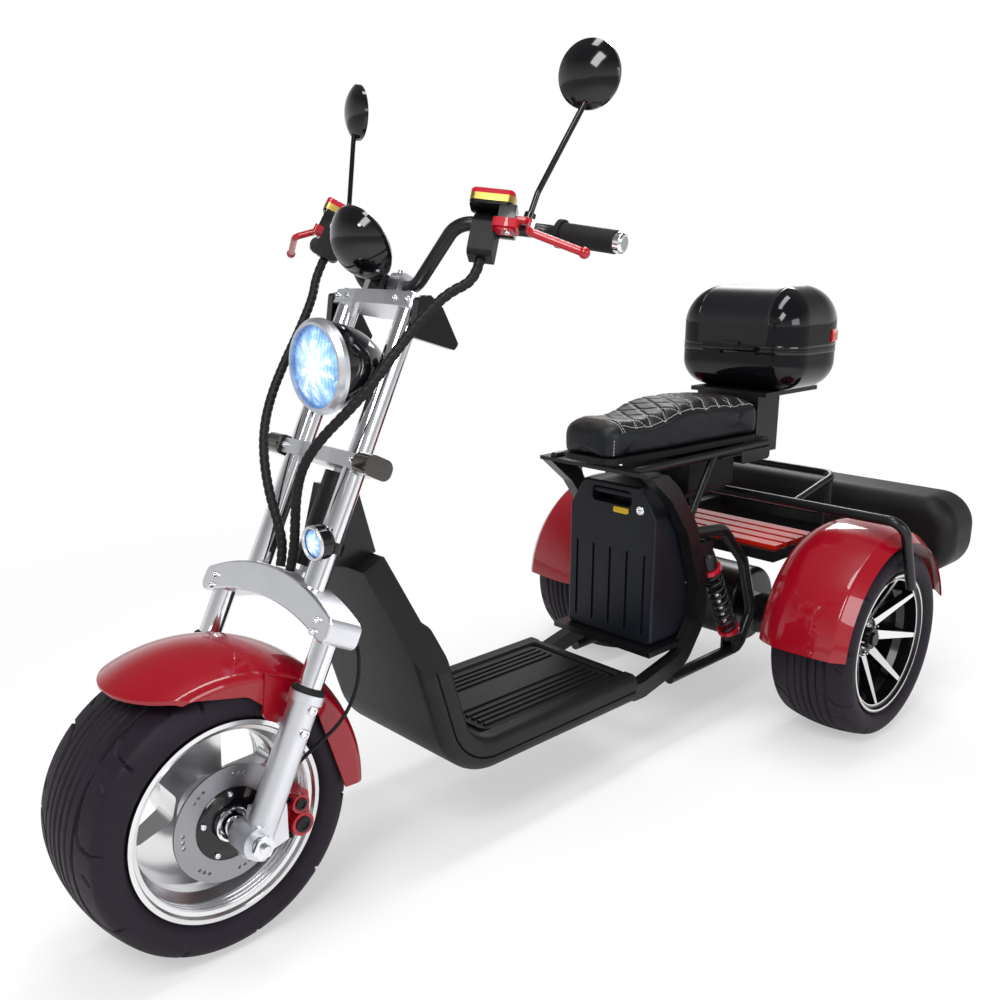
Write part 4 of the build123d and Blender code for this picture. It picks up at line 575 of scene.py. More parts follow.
def arc_through(a, b, c, count):
    """Points on the circle through three points, as an array of (count, 2)."""
    (ax, ay), (bx, by), (cx, cy) = a, b, c
    d = 2 * (ax * (by - cy) + bx * (cy - ay) + cx * (ay - by))
    ux = ((ax**2 + ay**2) * (by - cy) + (bx**2 + by**2) * (cy - ay) + (cx**2 + cy**2) * (ay - by)) / d
    uy = ((ax**2 + ay**2) * (cx - bx) + (bx**2 + by**2) * (ax - cx) + (cx**2 + cy**2) * (bx - ax)) / d
    start, mid, end = (math.atan2(y - uy, x - ux) for x, y in (a, b, c))
    mid = start + (mid - start + math.pi) % math.tau - math.pi
    end = mid + (end - mid + math.pi) % math.tau - math.pi
    turn = np.linspace(start, end, count)
    size = math.hypot(ax - ux, ay - uy)
    return np.stack([ux + size * np.cos(turn), uy + size * np.sin(turn)], 1)


# Tyres
TYRE_ROUND = 640
TREAD_STEP = 2.2
WALL_POINTS = 16
GROOVE_DEPTH = 4.2
GROOVE_SLOPE = 1.6
# How far the bead lies inside the tyre's widest point, and how deep it sits in the rim
BEAD_IN, BEAD_DEPTH = 18.3, 8.7
# How far the tread's edge lies inside the tyre's widest point and its crown
SHOULDER_IN, SHOULDER_DOWN = 12, 11
# Grooves round the tyre: distance from the middle as a share of the tread's half width, width
ROUND_GROOVES = ((-0.52, 5.0), (-0.3, 3.6), (-0.1, 5.0), (0.1, 5.0), (0.3, 3.6), (0.52, 5.0))
# One shoulder groove as (share of its pitch round the tyre, share of the tread's half width)
HOOK = ((-0.62, 0.5), (-0.2, 0.53), (0.1, 0.6), (0.22, 0.74), (0.26, 1.0), (0.27, 1.2))
HOOK_WIDTH = 4.6
HOOKS = 10
# Short dashes that follow each hook on the shoulder
DASH = ((0.52, 0.8), (0.6, 0.93))


def groove_at(u, v, path, pitch, half):
    """Distance in millimetres from tread points to a broken line repeated every pitch."""
    nearest = np.full(u.shape, 1e9)
    for (u0, v0), (u1, v1) in zip(path, path[1:]):
        a = np.array([u0 * pitch, v0 * half])
        step = np.array([(u1 - u0) * pitch, (v1 - v0) * half])
        for shift in (-pitch, 0, pitch):
            du, dv = u - a[0] - shift, v - a[1]
            t = np.clip((du * step[0] + dv * step[1]) / (step @ step), 0, 1)
            nearest = np.minimum(nearest, np.hypot(du - t * step[0], dv - t * step[1]))
    return nearest


def groove_share(gap, width):
    """How deep a groove is cut at a distance from its middle, from 0 to 1."""
    return np.clip((width / 2 + GROOVE_SLOPE / 2 - gap) / GROOVE_SLOPE, 0, 1)


def tyre(node, body, wall):
    """A tyre in its CAD outline with road tread cut in; wall is its height over the rim."""
    low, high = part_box(node)
    centre = (low + high) / 2
    radius, half = (high.z - low.z) / 2 / MM, (high.y - low.y) / 2 / MM
    rim_r, bead_y = radius - wall, half - BEAD_IN
    foot = rim_r - BEAD_DEPTH
    shoulder = (half - SHOULDER_IN, radius - SHOULDER_DOWN)
    over = (bead_y, rim_r + 0.3)
    belly = (half, (over[1] + shoulder[1]) / 2)
    side = arc_through(over, belly, shoulder, WALL_POINTS)
    crown = arc_through(shoulder, (0, radius), (-shoulder[0], shoulder[1]),
                        int(2 * shoulder[0] / TREAD_STEP))
    profile = np.concatenate([side[:-1], crown, (side * (-1, 1))[::-1][1:]])
    soft = profile.copy()
    for _ in range(3):
        soft[1:-1] = (soft[:-2] + 2 * soft[1:-1] + soft[2:]) / 4
    profile = soft
    count = len(profile)
    run = np.concatenate([[0], np.cumsum(np.hypot(*np.diff(profile, axis=0).T))])
    run -= run[-1] / 2
    tread_half = shoulder[0]
    turn = np.linspace(0, math.tau, TYRE_ROUND, endpoint=False)
    u, v = np.meshgrid(turn * radius, run, indexing="ij")
    pitch = math.tau * radius / HOOKS
    depth = np.zeros(u.shape)
    for share, width in ROUND_GROOVES:
        gap = np.abs(v - share * tread_half)
        depth = np.maximum(depth, groove_share(gap, width))
    for sign, offset in ((1, 0.0), (-1, 0.5)):
        along = (sign * u + offset * pitch) % pitch
        gap = groove_at(along, sign * v, HOOK, pitch, tread_half)
        depth = np.maximum(depth, groove_share(gap, HOOK_WIDTH))
        gap = groove_at(along, sign * v, DASH, pitch, tread_half)
        depth = np.maximum(depth, 0.7 * groove_share(gap, HOOK_WIDTH))
    fade = np.clip((1.28 * tread_half - np.abs(v)) / 12, 0, 1)
    cut = GROOVE_DEPTH * depth * fade
    # two raised rings on each sidewall near the rim
    height = profile[:, 1] - rim_r
    ribs = 0.9 * (np.exp(-((height - 10) / 1.8) ** 2) + np.exp(-((height - 16) / 1.4) ** 2))
    tangent = np.gradient(profile, axis=0)
    normal = np.stack([tangent[:, 1], -tangent[:, 0]], 1)
    normal /= np.linalg.norm(normal, axis=1)[:, None]
    normal *= np.sign(normal[count // 2, 1])
    inward = (profile[None] + normal[None] * (ribs[None, :, None] - cut[..., None]))
    inside = np.array([(-bead_y, foot), (16 - bead_y, foot), (12 - half, belly[1]),
                       (24 - half, radius - 18), (half - 24, radius - 18), (half - 12, belly[1]),
                       (bead_y - 16, foot), (bead_y, foot)])
    section = np.concatenate([inward, np.broadcast_to(inside, (TYRE_ROUND, *inside.shape))], 1)
    rows = section.shape[1]
    y, r = section[..., 0] * MM, section[..., 1] * MM
    x, z = r * np.cos(turn)[:, None], r * np.sin(turn)[:, None]
    verts = np.stack([x + centre.x, y + centre.y, z + centre.z], -1).reshape(-1, 3)
    i, k = np.meshgrid(np.arange(TYRE_ROUND), np.arange(rows), indexing="ij")
    j, n = (i + 1) % TYRE_ROUND, (k + 1) % rows
    faces = np.stack([i * rows + k, j * rows + k, j * rows + n, i * rows + n], -1).reshape(-1, 4)
    mesh = bpy.data.meshes.new(node + "_tread")
    mesh.from_pydata(verts.tolist(), [], faces.tolist())
    piece = finish_piece(mesh, node + "_tread", "tyre_rubber", body, 50)
    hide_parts(node)


tyre("front_tyre", "front_wheel", 63.0)
tyre("rear_tyre_left", "rear_wheel_left", 61.0)
tyre("rear_tyre_right", "rear_wheel_right", 61.0)


# Cords: their points are those of the CAD routes, in the fork's frame
LOOM_R = 8.0
WRAP_PITCH = 0.013
HOSE_R = 3.0
ROUTE_STEPS = 26
LOOM_LEFT = [(26, 186, 500), (42, 164, 446), (54, 150, 390), (66, 140, 336), (76, 116, 284), (82, 84, 236),
             (76, 54, 190), (58, 38, 146), (38, 32, 104), (20, 27, 66), (12, 24, 32)]
LOOM_RIGHT = [(8, -184, 490), (24, -164, 422), (42, -146, 356), (56, -128, 296), (64, -104, 238),
              (60, -76, 184), (46, -48, 134), (26, -26, 94), (12, -14, 62), (8, -10, 32)]
HOSE_FRONT = [(-55.2, 110, -283.8), (-49, 114, -255), (-68, 126, -212), (-92, 138, -168),
              (-98, 143, -114), (-88, 136, -62), (-64, 120, -16), (-32.4, 120, -16)]
SWITCH_AT = 45.0
SWITCH_LOW = 56.3
LOOM_DROP = 34.0


def bar_frame(side):
    """A placement on the handlebar's middle stretch: Z runs outward along it, X looks ahead."""
    knee, grip = fork_at(27, side * 155, 614), fork_at(-52, side * 265, 636)
    return facing(knee, grip - knee, FORK_AHEAD)


def along_route(name, points):
    """Points of a smooth curve through a cord's route."""
    curve = bpy.data.curves.new(name, "CURVE")
    curve.dimensions = "3D"
    spline = curve.splines.new("NURBS")
    spline.points.add(len(points) - 1)
    for made, point in zip(spline.points, points):
        made.co = (*point, 1)
    spline.order_u = 3
    spline.use_endpoint_u = True
    spline.resolution_u = ROUTE_STEPS
    holder = bpy.data.objects.new(name, curve)
    mesh = bpy.data.meshes.new_from_object(holder)
    line = [vertex.co.copy() for vertex in mesh.vertices]
    bpy.data.objects.remove(holder)
    bpy.data.meshes.remove(mesh)
    bpy.data.curves.remove(curve)
    return line


def spiral_wrap(run, turn):
    """A loom's radius under its spiral wrap, with a shallow gap between the turns."""
    phase = (run / WRAP_PITCH - turn / math.tau) % 1
    return LOOM_R - 1.1 * math.exp(-((phase - 0.5) / 0.14) ** 2)


def looms():
    """The two wrapped looms from the switch boxes to the frame."""
    shape = Shape()
    for side, route in ((1, LOOM_LEFT), (-1, LOOM_RIGHT)):
        start = [bar_frame(side) @ Vector((0, side * (SWITCH_LOW + drop) * MM, SWITCH_AT * MM))
                 for drop in (0, LOOM_DROP)]
        line = along_route("loom_route", start + [fork_at(*point) for point in route])
        shape.add(*swept(line, spiral_wrap, 16))
    piece = shape.make("wrapped_looms", "black_plastic", "steering", sharp=60)
    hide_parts("looms")


def brake_hose():
    """The front brake hose with a ferrule at each end."""
    line = along_route("hose_route", [fork_at(*point) for point in HOSE_FRONT])
    hose = Shape().add(*swept(line, HOSE_R, 12)).make("front_hose", "grip_rubber", "steering")
    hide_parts("brake_hose")
    ends = Shape()
    ferrule = [(3.2, -0.4), (4.8, 0.2), (4.8, 6), (4.2, 6.6), (4.2, 12), (4.8, 12.6), (4.8, 15), (3.2, 16)]
    ends.add(*lathe(ferrule, 20), facing(line[0], line[4] - line[0]))
    ends.add(*lathe(ferrule, 20), facing(line[-1], line[-5] - line[-1]))
    ends.make("hose_ferrules", "bright_chrome", "steering")


# Seat, stations in millimetres ahead of the rear axle and heights over the floor
SEAT_BACK, SEAT_NECK, SEAT_FRONT = 37.0, 352.0, 548.0
# Half width at those three stations
SEAT_HALF = (108.0, 94.0, 72.0)
# The cushion's top along the middle as (station, height)
SEAT_TOP = ((37, 729), (120, 737), (200, 742), (280, 742), (330, 736), (370, 726), (410, 719), (450, 718),
            (490, 722), (515, 722), (535, 716), (548, 704))
SEAT_CORNER = 30.0
SEAT_SLACK = 4.0
SEAT_SECTIONS = 60
SEAT_ROUND = 56
VOXEL = 0.005
SWELL_CAP = 7.0
FILL_FRAMES, FILL_PRESSURE = 20, 4.0
QUILT_FROM, QUILT_TO = 58.0, 470.0
QUILT_PITCH = 46.0
QUILT_SLANT = 0.62
QUILT_DEPTH = 2.6
CHANNEL = 3.2
SEAM_IN = 17.0
NOSE_SEAM = 498.0


def seat_half(x):
    """Half width of the seat at a station, or at an array of them."""
    return np.interp(x, (SEAT_BACK, SEAT_NECK, SEAT_FRONT), SEAT_HALF)


def end_round(distance, corner):
    """How far a rounded corner pulls in at a distance from the end."""
    if distance >= corner:
        return 0.0
    return corner - math.sqrt(corner**2 - (corner - distance) ** 2)


def seat_block():
    """The cushion before it is filled: crowned, rounded at its corners, flat underneath."""
    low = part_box("seat")[0].z / MM
    stations, heights = zip(*SEAT_TOP)
    verts = []
    for i in range(SEAT_SECTIONS):
        share = 0.5 - 0.5 * math.cos(math.pi * i / (SEAT_SECTIONS - 1))
        x = SEAT_BACK + SEAT_SLACK + (SEAT_FRONT - SEAT_BACK - 2 * SEAT_SLACK) * share
        top = float(np.interp(x, stations, heights)) - SEAT_SLACK
        half = seat_half(x) - SEAT_SLACK
        half -= end_round(x - SEAT_BACK - SEAT_SLACK, SEAT_CORNER)
        half -= end_round(SEAT_FRONT - SEAT_SLACK - x, SEAT_CORNER)
        middle = low + 0.36 * (top - low)
        for k in range(SEAT_ROUND):
            turn = math.tau * k / SEAT_ROUND
            c, s = math.cos(turn), math.sin(turn)
            power, reach = (2 / 4.2, top - middle) if s > 0 else (2 / 9, middle - low)
            y = half * math.copysign(abs(c) ** power, c)
            z = middle + reach * math.copysign(abs(s) ** power, s)
            verts.append(at(x, y, z))
    mesh = bpy.data.meshes.new("seat_block")
    mesh.from_pydata(verts, [], skin(SEAT_SECTIONS, SEAT_ROUND) + end_caps(SEAT_SECTIONS, SEAT_ROUND))
    return mesh


def with_modifier(mesh, kind, frames=0, **settings):
    """The mesh after one modifier, stepped over frames for a simulation."""
    holder = bpy.data.objects.new("shaping", mesh)
    scene = bpy.context.scene
    scene.collection.objects.link(holder)
    modifier = holder.modifiers.new(kind.lower(), kind)
    for key, value in settings.items():
        setattr(modifier, key, value)
    if kind == "CLOTH":
        modifier.settings.use_pressure = True
        modifier.settings.uniform_pressure_force = FILL_PRESSURE
        modifier.settings.effector_weights.gravity = 0.0
        modifier.point_cache.frame_start, modifier.point_cache.frame_end = 1, frames
    for number in range(1, frames + 1):
        scene.frame_set(number)
    shaped = bpy.data.meshes.new_from_object(holder.evaluated_get(bpy.context.evaluated_depsgraph_get()))
    bpy.data.objects.remove(holder)
    if frames:
        scene.frame_set(1)
    return shaped


def mesh_points(mesh):
    """A mesh's points as an array."""
    points = np.empty(len(mesh.vertices) * 3)
    mesh.vertices.foreach_get("co", points)
    return points.reshape(-1, 3)


def swollen(mesh):
    """The cushion filled by a cloth simulation; no point moves further than the cap."""
    start = mesh_points(mesh)
    filled = with_modifier(mesh, "CLOTH", FILL_FRAMES)
    move = mesh_points(filled) - start
    size = np.linalg.norm(move, axis=1, keepdims=True)
    move *= np.minimum(1, SWELL_CAP * MM / np.maximum(size, 1e-9))
    points = start + move
    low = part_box("seat")[0].z
    points[:, 2] = np.maximum(points[:, 2], low + 0.0004)
    filled.vertices.foreach_set("co", points.ravel())
    return filled


def quilted(mesh):
    """Presses the sewn channels, the edge seam and the nose seam into the cushion."""
    points = mesh_points(mesh)
    normals = np.empty(len(points) * 3)
    mesh.vertex_normals.foreach_get("vector", normals)
    normals = normals.reshape(-1, 3)
    x = (points[:, 0] - REAR_AXLE.x) / MM
    y = points[:, 1] / MM
    half = seat_half(x)
    upward = np.clip((normals[:, 2] - 0.35) / 0.3, 0, 1)
    inside = half - SEAM_IN - np.abs(y)
    panel = upward * np.clip(inside / 4, 0, 1) * np.clip((x - QUILT_FROM) / 6, 0, 1)
    panel = panel * np.clip((QUILT_TO - x) / 6, 0, 1)
    across = QUILT_PITCH / math.hypot(1, QUILT_SLANT)
    channel = np.zeros(len(points))
    for sign in (1, -1):
        phase = ((x + sign * QUILT_SLANT * y) / QUILT_PITCH + 0.5) % 1 - 0.5
        channel = np.maximum(channel, np.exp(-((phase * across) / CHANNEL) ** 2))
    sink = panel * QUILT_DEPTH * channel
    sink = np.maximum(sink, 2.4 * upward * np.exp(-(inside / 2.8) ** 2) * (x < NOSE_SEAM))
    sink = np.maximum(sink, 2.4 * upward * np.exp(-((x - NOSE_SEAM) / 2.8) ** 2))
    points -= normals * (sink * MM)[:, None]
    mesh.vertices.foreach_set("co", points.ravel())
    mesh.update()
    return mesh


def stitches(shape, line, length=4.6, gap=2.2, radius=0.75):
    """Thread dashes along a line of points."""
    left, drawn, on = length * MM, [line[0]], True
    for a, b in zip(line, line[1:]):
        step = (b - a).length
        while step >= left:
            a = a.lerp(b, left / step)
            step -= left
            if on:
                shape.add(*swept(drawn + [a], radius, 5))
            on = not on
            drawn, left = [a], (length if on else gap) * MM
        left -= step
        if on and step > 1e-6:
            drawn.append(b)


def seat():
    """Quilted seat with its thread."""
    mesh = with_modifier(seat_block(), "REMESH", mode="VOXEL", voxel_size=VOXEL)
    mesh = with_modifier(mesh, "SMOOTH", factor=0.5, iterations=6)
    mesh = swollen(mesh)
    mesh = quilted(with_modifier(mesh, "SUBSURF", levels=1))
    piece = finish_piece(mesh, "seat_cushion", "seat_leather", "chassis", 180)
    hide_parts("seat")
    surface = BVHTree.FromPolygons([v.co for v in mesh.vertices], [list(p.vertices) for p in mesh.polygons])
    shape = Shape()

    def laid(points):
        """Drops points on the cushion from above."""
        hits = [surface.ray_cast(at(x, y, 900), Vector((0, 0, -1)))[0] for x, y in points]
        return [hit + Vector((0, 0, 0.0002)) for hit in hits if hit]

    def sewn(points):
        """Stitches along points laid on the cushion."""
        line = laid(points)
        if len(line) > 2:
            stitches(shape, line)

    reach = QUILT_SLANT * SEAT_HALF[0]
    first, last = int((QUILT_FROM - reach) // QUILT_PITCH), int((QUILT_TO + reach) // QUILT_PITCH) + 1
    for sign in (1, -1):
        for number in range(first, last + 1):
            ys = np.arange(-SEAT_HALF[0], SEAT_HALF[0], 3.0)
            xs = number * QUILT_PITCH - sign * QUILT_SLANT * ys
            sewn([(x, y) for x, y in zip(xs, ys)
                  if QUILT_FROM < x < QUILT_TO and abs(y) < seat_half(x) - SEAM_IN])
    for side in (1, -1):
        sewn([(x, side * (seat_half(x) - SEAM_IN - 4)) for x in np.arange(QUILT_FROM, NOSE_SEAM - 4, 3.0)])
    for beside in (-4, 4):
        half = seat_half(NOSE_SEAM) - 8
        sewn([(NOSE_SEAM + beside, y) for y in np.arange(-half, half, 3.0)])
    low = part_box("seat")[0].z / MM
    for side in (1, -1):
        line = []
        for z in np.arange(low + 6, SEAT_TOP[-2][1] - 22, 3.0):
            away = Vector((-0.75, -side, 0)).normalized()
            start = at(SEAT_FRONT - 22, side * (SEAT_HALF[2] - 6), z)
            hit = surface.ray_cast(start - away * 0.2, away)[0]
            if hit:
                line.append(hit - away * 0.0003)
        stitches(shape, line)
    shape.make("seat_thread", "thread", "chassis", "seat_leather")


# Shocks: ends as (station, height), the distance from the middle, sizes along the unit
SHOCK_LOW, SHOCK_HIGH = (165.0, 192.7), (300.0, 440.0)
SHOCK_Y = 136.0
COIL_TURNS = 8.5
COIL_R, WIRE_R = 20.0, 3.7
COIL_FROM, COIL_TO = 37.0, 70.0


def shocks():
    """Coil-over units: eyes, damper, bright rod, red collars and an open coil."""
    bodies, rods, collars, coils = Shape(), Shape(), Shape(), Shape()
    for side in (1, -1):
        low = at(SHOCK_LOW[0], side * SHOCK_Y, SHOCK_LOW[1])
        high = at(SHOCK_HIGH[0], side * SHOCK_Y, SHOCK_HIGH[1])
        length = (high - low).length / MM
        place = facing(low, high - low)
        for end in (low, high):
            eye = ring([(8, -11), (14, -11), (14.5, -9), (14.5, 9), (14, 11), (8, 11)], 32)
            bodies.add(*eye, facing(end, SIDE))
            rods.add(*lathe([(7.4, -12), (7.9, -11), (7.9, 11), (7.4, 12)], 24), facing(end, SIDE))
        bodies.add(*lathe([(7, 12), (11, 16), (11, 24), (7, 25)], 28), place)
        bodies.add(*lathe([(13, length - 130), (14.5, length - 128), (14.5, length - 66), (20, length - 62),
                           (20, length - 26), (17, length - 22), (9, length - 13)], 36), place)
        rods.add(*lathe([(6.5, 24), (6.5, length - 128)], 24), place)
        for at_run in (24.5, length - 72):
            collars.add(*lathe([(9, at_run), (24, at_run), (25.5, at_run + 1.5), (25.5, at_run + 10),
                                (24, at_run + 11.5), (9, at_run + 11.5)], 40), place)
        top = length - COIL_TO - WIRE_R
        steps = int(COIL_TURNS * 26)
        line = []
        for i in range(steps + 1):
            turn = math.tau * COIL_TURNS * i / steps
            height = COIL_FROM + WIRE_R + (top - COIL_FROM - WIRE_R) * i / steps
            line.append(place @ (Vector((COIL_R * math.cos(turn), COIL_R * math.sin(turn), height)) * MM))
        coils.add(*swept(line, WIRE_R, 10))
    piece = bodies.make("shock_dampers", "black_paint", "chassis")
    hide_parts("shocks")
    rods.make("shock_rods", "bright_chrome", "chassis")
    collars.make("shock_collars", "lever_red", "chassis", "candy_red")
    coils.make("shock_coils", "black_paint", "chassis", sharp=60)


# Front wheel, radii and distances from the wheel's middle plane
DISC_FACE = 96.0
LEG_Y, LEG_R = 150.0, 23.0
LEG_TOP_U = -127.0
DISC_EDGE = 93.0
RIM_SKIN_R = 143.6
CARRIER_SCREWS, CARRIER_CIRCLE = 5, 50.0


def front_wheel_trim():
    """Disc carrier with its screws, and the steps of the polished rim."""
    face = FRONT_AXLE + SIDE * DISC_FACE * MM
    outward = facing(face, SIDE)
    carrier = ring([(27, 0.2), (57, 0.2), (58, 1), (57, 2.4), (46, 3), (42, 5), (30, 5), (27, 4)], 72)
    Shape().add(*carrier, outward).make("disc_carrier", "gloss_black", "front_wheel")
    screws = Shape()
    for step in around(CARRIER_SCREWS, CARRIER_CIRCLE, 0.3):
        screws.add(*bolt(4.6, 4.5), facing(face + step + SIDE * 2.4 * MM, SIDE))
    screws.add(*ring([(22, 1), (27.5, 1), (27.5, 6), (26, 7.5), (23, 7.5), (22, 6)], 48), outward)
    screws.make("disc_screws", "bright_chrome", "front_wheel")
    steps = Shape()
    for side in (1, -1):
        place = facing(FRONT_AXLE, SIDE * side)
        for away in (80, 72, 63):
            bead = [(RIM_SKIN_R + 1.6 * math.cos(t), away + 1.9 * math.sin(t))
                    for t in np.linspace(0, math.tau, 10)[:-1]]
            steps.add(*ring(bead, 120), place)
    steps.make("rim_steps", "bright_chrome", "front_wheel", "polished_alloy", 60)


def fork_trim():
    """Seals on the legs, nuts on the axle, screws in the yokes and on the caliper."""
    seals = Shape()
    for side in (1, -1):
        foot = fork_at(0, side * LEG_Y, LEG_TOP_U)
        section = [(19.3, 0.2), (25.5, 0.2), (26, 1.5), (25, 6), (21.5, 9), (19.3, 9.5)]
        seals.add(*ring(section, 48), facing(foot, FORK_UP))
    seals.make("fork_seals", "grip_rubber", "steering")
    bright = Shape()
    for side in (1, -1):
        end = FRONT_AXLE + SIDE * side * (LEG_Y + LEG_R + 11.2) * MM
        bright.add(*hex_nut(18, 6, 8), facing(end, SIDE * side))
        for drop in (21, 57):
            boss = fork_at(0, side * (LEG_Y + LEG_R - 0.6), LEG_TOP_U - drop)
            bright.add(*bolt(7.5, 6), facing(boss, SIDE * side))
        for u in (-20, -38):
            bright.add(*bolt(5.5, 5), facing(fork_at(28, side * LEG_Y, u), FORK_AHEAD))
        # screws in the front of the middle and top yoke as (f, y, u)
        for f, y, u in ((22, 92, 224), (22, 92, 490), (24, 62, 490)):
            bright.add(*bolt(5, 4.5), facing(fork_at(f - 1.5, side * y, u), FORK_AHEAD))
        for f in (-21, 5):
            bright.add(*bolt(4.2, 4), facing(fork_at(f, side * 31, 540), FORK_UP))
    bright.add(*hex_nut(19, 9, 9), facing(fork_at(-24, 0, 501.8), FORK_UP))
    bright.make("fork_screws", "bright_chrome", "steering")
    dark = Shape()
    # columns: distance behind the disc's edge, height, radius of a piston's cap
    for back, rise, radius in ((0, 21, 10), (2, -14, 13)):
        face = FRONT_AXLE + Vector((-(DISC_EDGE + back), LEG_Y - LEG_R + 16.8, rise - 6)) * MM
        dark.add(*bolt(radius, 3.5), facing(face, SIDE))
    for rise in (-30, 30):
        face = FRONT_AXLE + Vector((-(DISC_EDGE - 16), LEG_Y - LEG_R + 1, rise - 6)) * MM
        dark.add(*bolt(4.5, 9), facing(face, SIDE))
    dark.make("caliper_screws", "black_alloy_dark", "steering", "black_paint")


# Lamps and dash
DASH_AT = (74.0, 0.0, 556.0)
DASH_TIP = 38.0
DASH_LIP, DASH_R, DASH_DOME = 12.0, 62.0, 40.0
DIAL_TICKS = 25
DASH_SCREWS, DASH_SCREW_TILT = 4, 52.0


def fog_lens():
    """Domed glass in the small lamp, with a bright ring round it."""
    place = facing(FOG_CENTRE, (1, 0, 0))
    glass = lathe([(21.6, -5.7), (21.6, -3), (18, -0.8), (11, 0.9), (0.3, 1.6)], 48)
    Shape().add(*glass, place).make("fog_glass", "fog_glass", "steering", "lamp_glass", 60)
    rim = ring([(21.8, -2), (27.2, -2), (27.4, 0.5), (26, 2.2), (23, 2.2), (21.8, 0.5)], 56)
    Shape().add(*rim, place).make("fog_ring", "satin_silver", "steering")


def dash_trim():
    """The instrument's face for the rider, and the screws in its shell."""
    lean = math.radians(DASH_TIP)
    up = FORK_UP * math.cos(lean) - FORK_AHEAD * math.sin(lean)
    place = facing(fork_at(*DASH_AT) + up * DASH_LIP * MM, up, FORK_AHEAD)
    bezel = ring([(49, -1), (56.5, -1), (56.5, 1.5), (54, 4), (51, 4), (49, 1.5)], 72)
    Shape().add(*bezel, place).make("dash_bezel", "satin_silver", "steering")
    glass = lathe([(49.2, 0.1), (49.2, 1.6), (30, 2.4), (0.3, 2.7)], 64)
    Shape().add(*glass, place).make("dash_glass", "gloss_black", "steering", sharp=60)
    marks = Shape()
    for i in range(DIAL_TICKS):
        turn = math.radians(-130 + 260 * i / (DIAL_TICKS - 1)) + math.pi
        long = 8 if i % 4 == 0 else 4.5
        tick = prism([(46 - long, -0.7), (46, -0.7), (46, 0.7), (46 - long, 0.7)], 1.9, 2.5)
        marks.add(*tick, place @ Matrix.Rotation(turn, 4, "Z"))
    marks.make("dash_marks", "thread", "steering", "mirror_face")
    screws = Shape()
    ball = (DASH_R**2 + DASH_DOME**2) / (2 * DASH_DOME)
    heart = fork_at(*DASH_AT) + up * (ball - DASH_DOME) * MM
    ahead = FORK_AHEAD * math.cos(lean) + FORK_UP * math.sin(lean)
    tilt = math.radians(DASH_SCREW_TILT)
    for i in range(DASH_SCREWS):
        turn = math.tau * (i + 0.5) / DASH_SCREWS
        aside = ahead * math.cos(turn) + SIDE * math.sin(turn)
        out = aside * math.sin(tilt) - up * math.cos(tilt)
        screws.add(*bolt(3.0, 1.8), facing(heart + out * (ball - 0.6) * MM, out))
    screws.make("dash_screws", "bright_chrome", "steering")


# Reservoirs on the bar: the middle along the bar and ahead of it, the body's lower and upper height
RESERVOIR_AT, RESERVOIR_AHEAD = 52.0, 19.0
RESERVOIR_LOW, RESERVOIR_HIGH = 16.0, 36.0


def controls():
    """Gold bands and red lids on the reservoirs, lever brackets, screws and switch buttons."""
    gold, red, brackets, screws, buttons = Shape(), Shape(), Shape(), Shape(), Shape()
    for side in (1, -1):
        bar = bar_frame(side)
        up = (0, -side, 0)
        pot = bar @ facing(Vector((RESERVOIR_AHEAD, 0, RESERVOIR_AT)) * MM, up, (1, 0, 0))
        gold.add(*prism(rounded(18.7, 33.7, 9), RESERVOIR_LOW + 5, RESERVOIR_HIGH - 4), pot)
        red.add(*prism(rounded(18.7, 33.7, 9), RESERVOIR_HIGH - 4, RESERVOIR_HIGH + 3), pot)
        red.add(*prism(rounded(17, 32, 8), RESERVOIR_HIGH + 3, RESERVOIR_HIGH + 5), pot)
        for along in (-24, 24):
            screws.add(*bolt(3.0, 1.8), pot @ Matrix.Translation(Vector((0, along, RESERVOIR_HIGH + 5)) * MM))
        hand = bar @ facing(Vector((29, 0, 80)) * MM, up, (1, 0, 0))
        brackets.add(*prism(rounded(12.5, 20, 5), -20, -6), hand)
        brackets.add(*prism(rounded(9, 14, 4), -24, -19), hand)
        screws.add(*bolt(4.5, 3), hand @ facing(Vector((3, 4, -24)) * MM, (0, 0, -1)))
        back = bar @ facing(Vector((-20.5, side * 30, SWITCH_AT)) * MM, (-1, 0, 0), (0, 0, 1))
        # columns: height, place across, radius of a button
        for low, across, size in ((-8, -9, 5.0), (-8, 7, 5.0), (12, 0, 6.5)):
            knob = lathe([(size, -1), (size, 2.5), (size * 0.8, 3.4), (size * 0.2, 3.6)], 24)
            buttons.add(*knob, back @ Matrix.Translation(Vector((across, low, 0)) * MM))
    gold.make("reservoir_bands", "reservoir_gold", "steering")
    red.make("reservoir_lids", "lever_red", "steering", "candy_red")
    brackets.make("lever_brackets", "lever_red", "steering", "candy_red")
    screws.make("control_screws", "bright_chrome", "steering")
    buttons.make("switch_buttons", "tray_red", "steering")


# Top case, stations and heights as in the CAD outline
CASE_FRONT, CASE_BACK, CASE_HALF_W = 31.0, -266.0, 162.0
CASE_FRONT_R, CASE_BACK_R = 66.0, 146.0
CASE_SEAM = 841.0
# The reflectors lie outside this distance from the middle and behind this station
REFLECTOR_Y, REFLECTOR_X = 104.0, -132.0


def case_outline(grow, steps=14):
    """The case from above: tight front corners and wide back ones."""
    front, back = CASE_FRONT - CASE_FRONT_R, CASE_BACK + CASE_BACK_R
    beside, behind = CASE_HALF_W - CASE_FRONT_R, CASE_HALF_W - CASE_BACK_R
    tight, wide = CASE_FRONT_R + grow, CASE_BACK_R + grow
    return corner_arcs(((front, beside, tight), (back, behind, wide),
                        (back, -behind, wide), (front, -beside, tight)), steps)


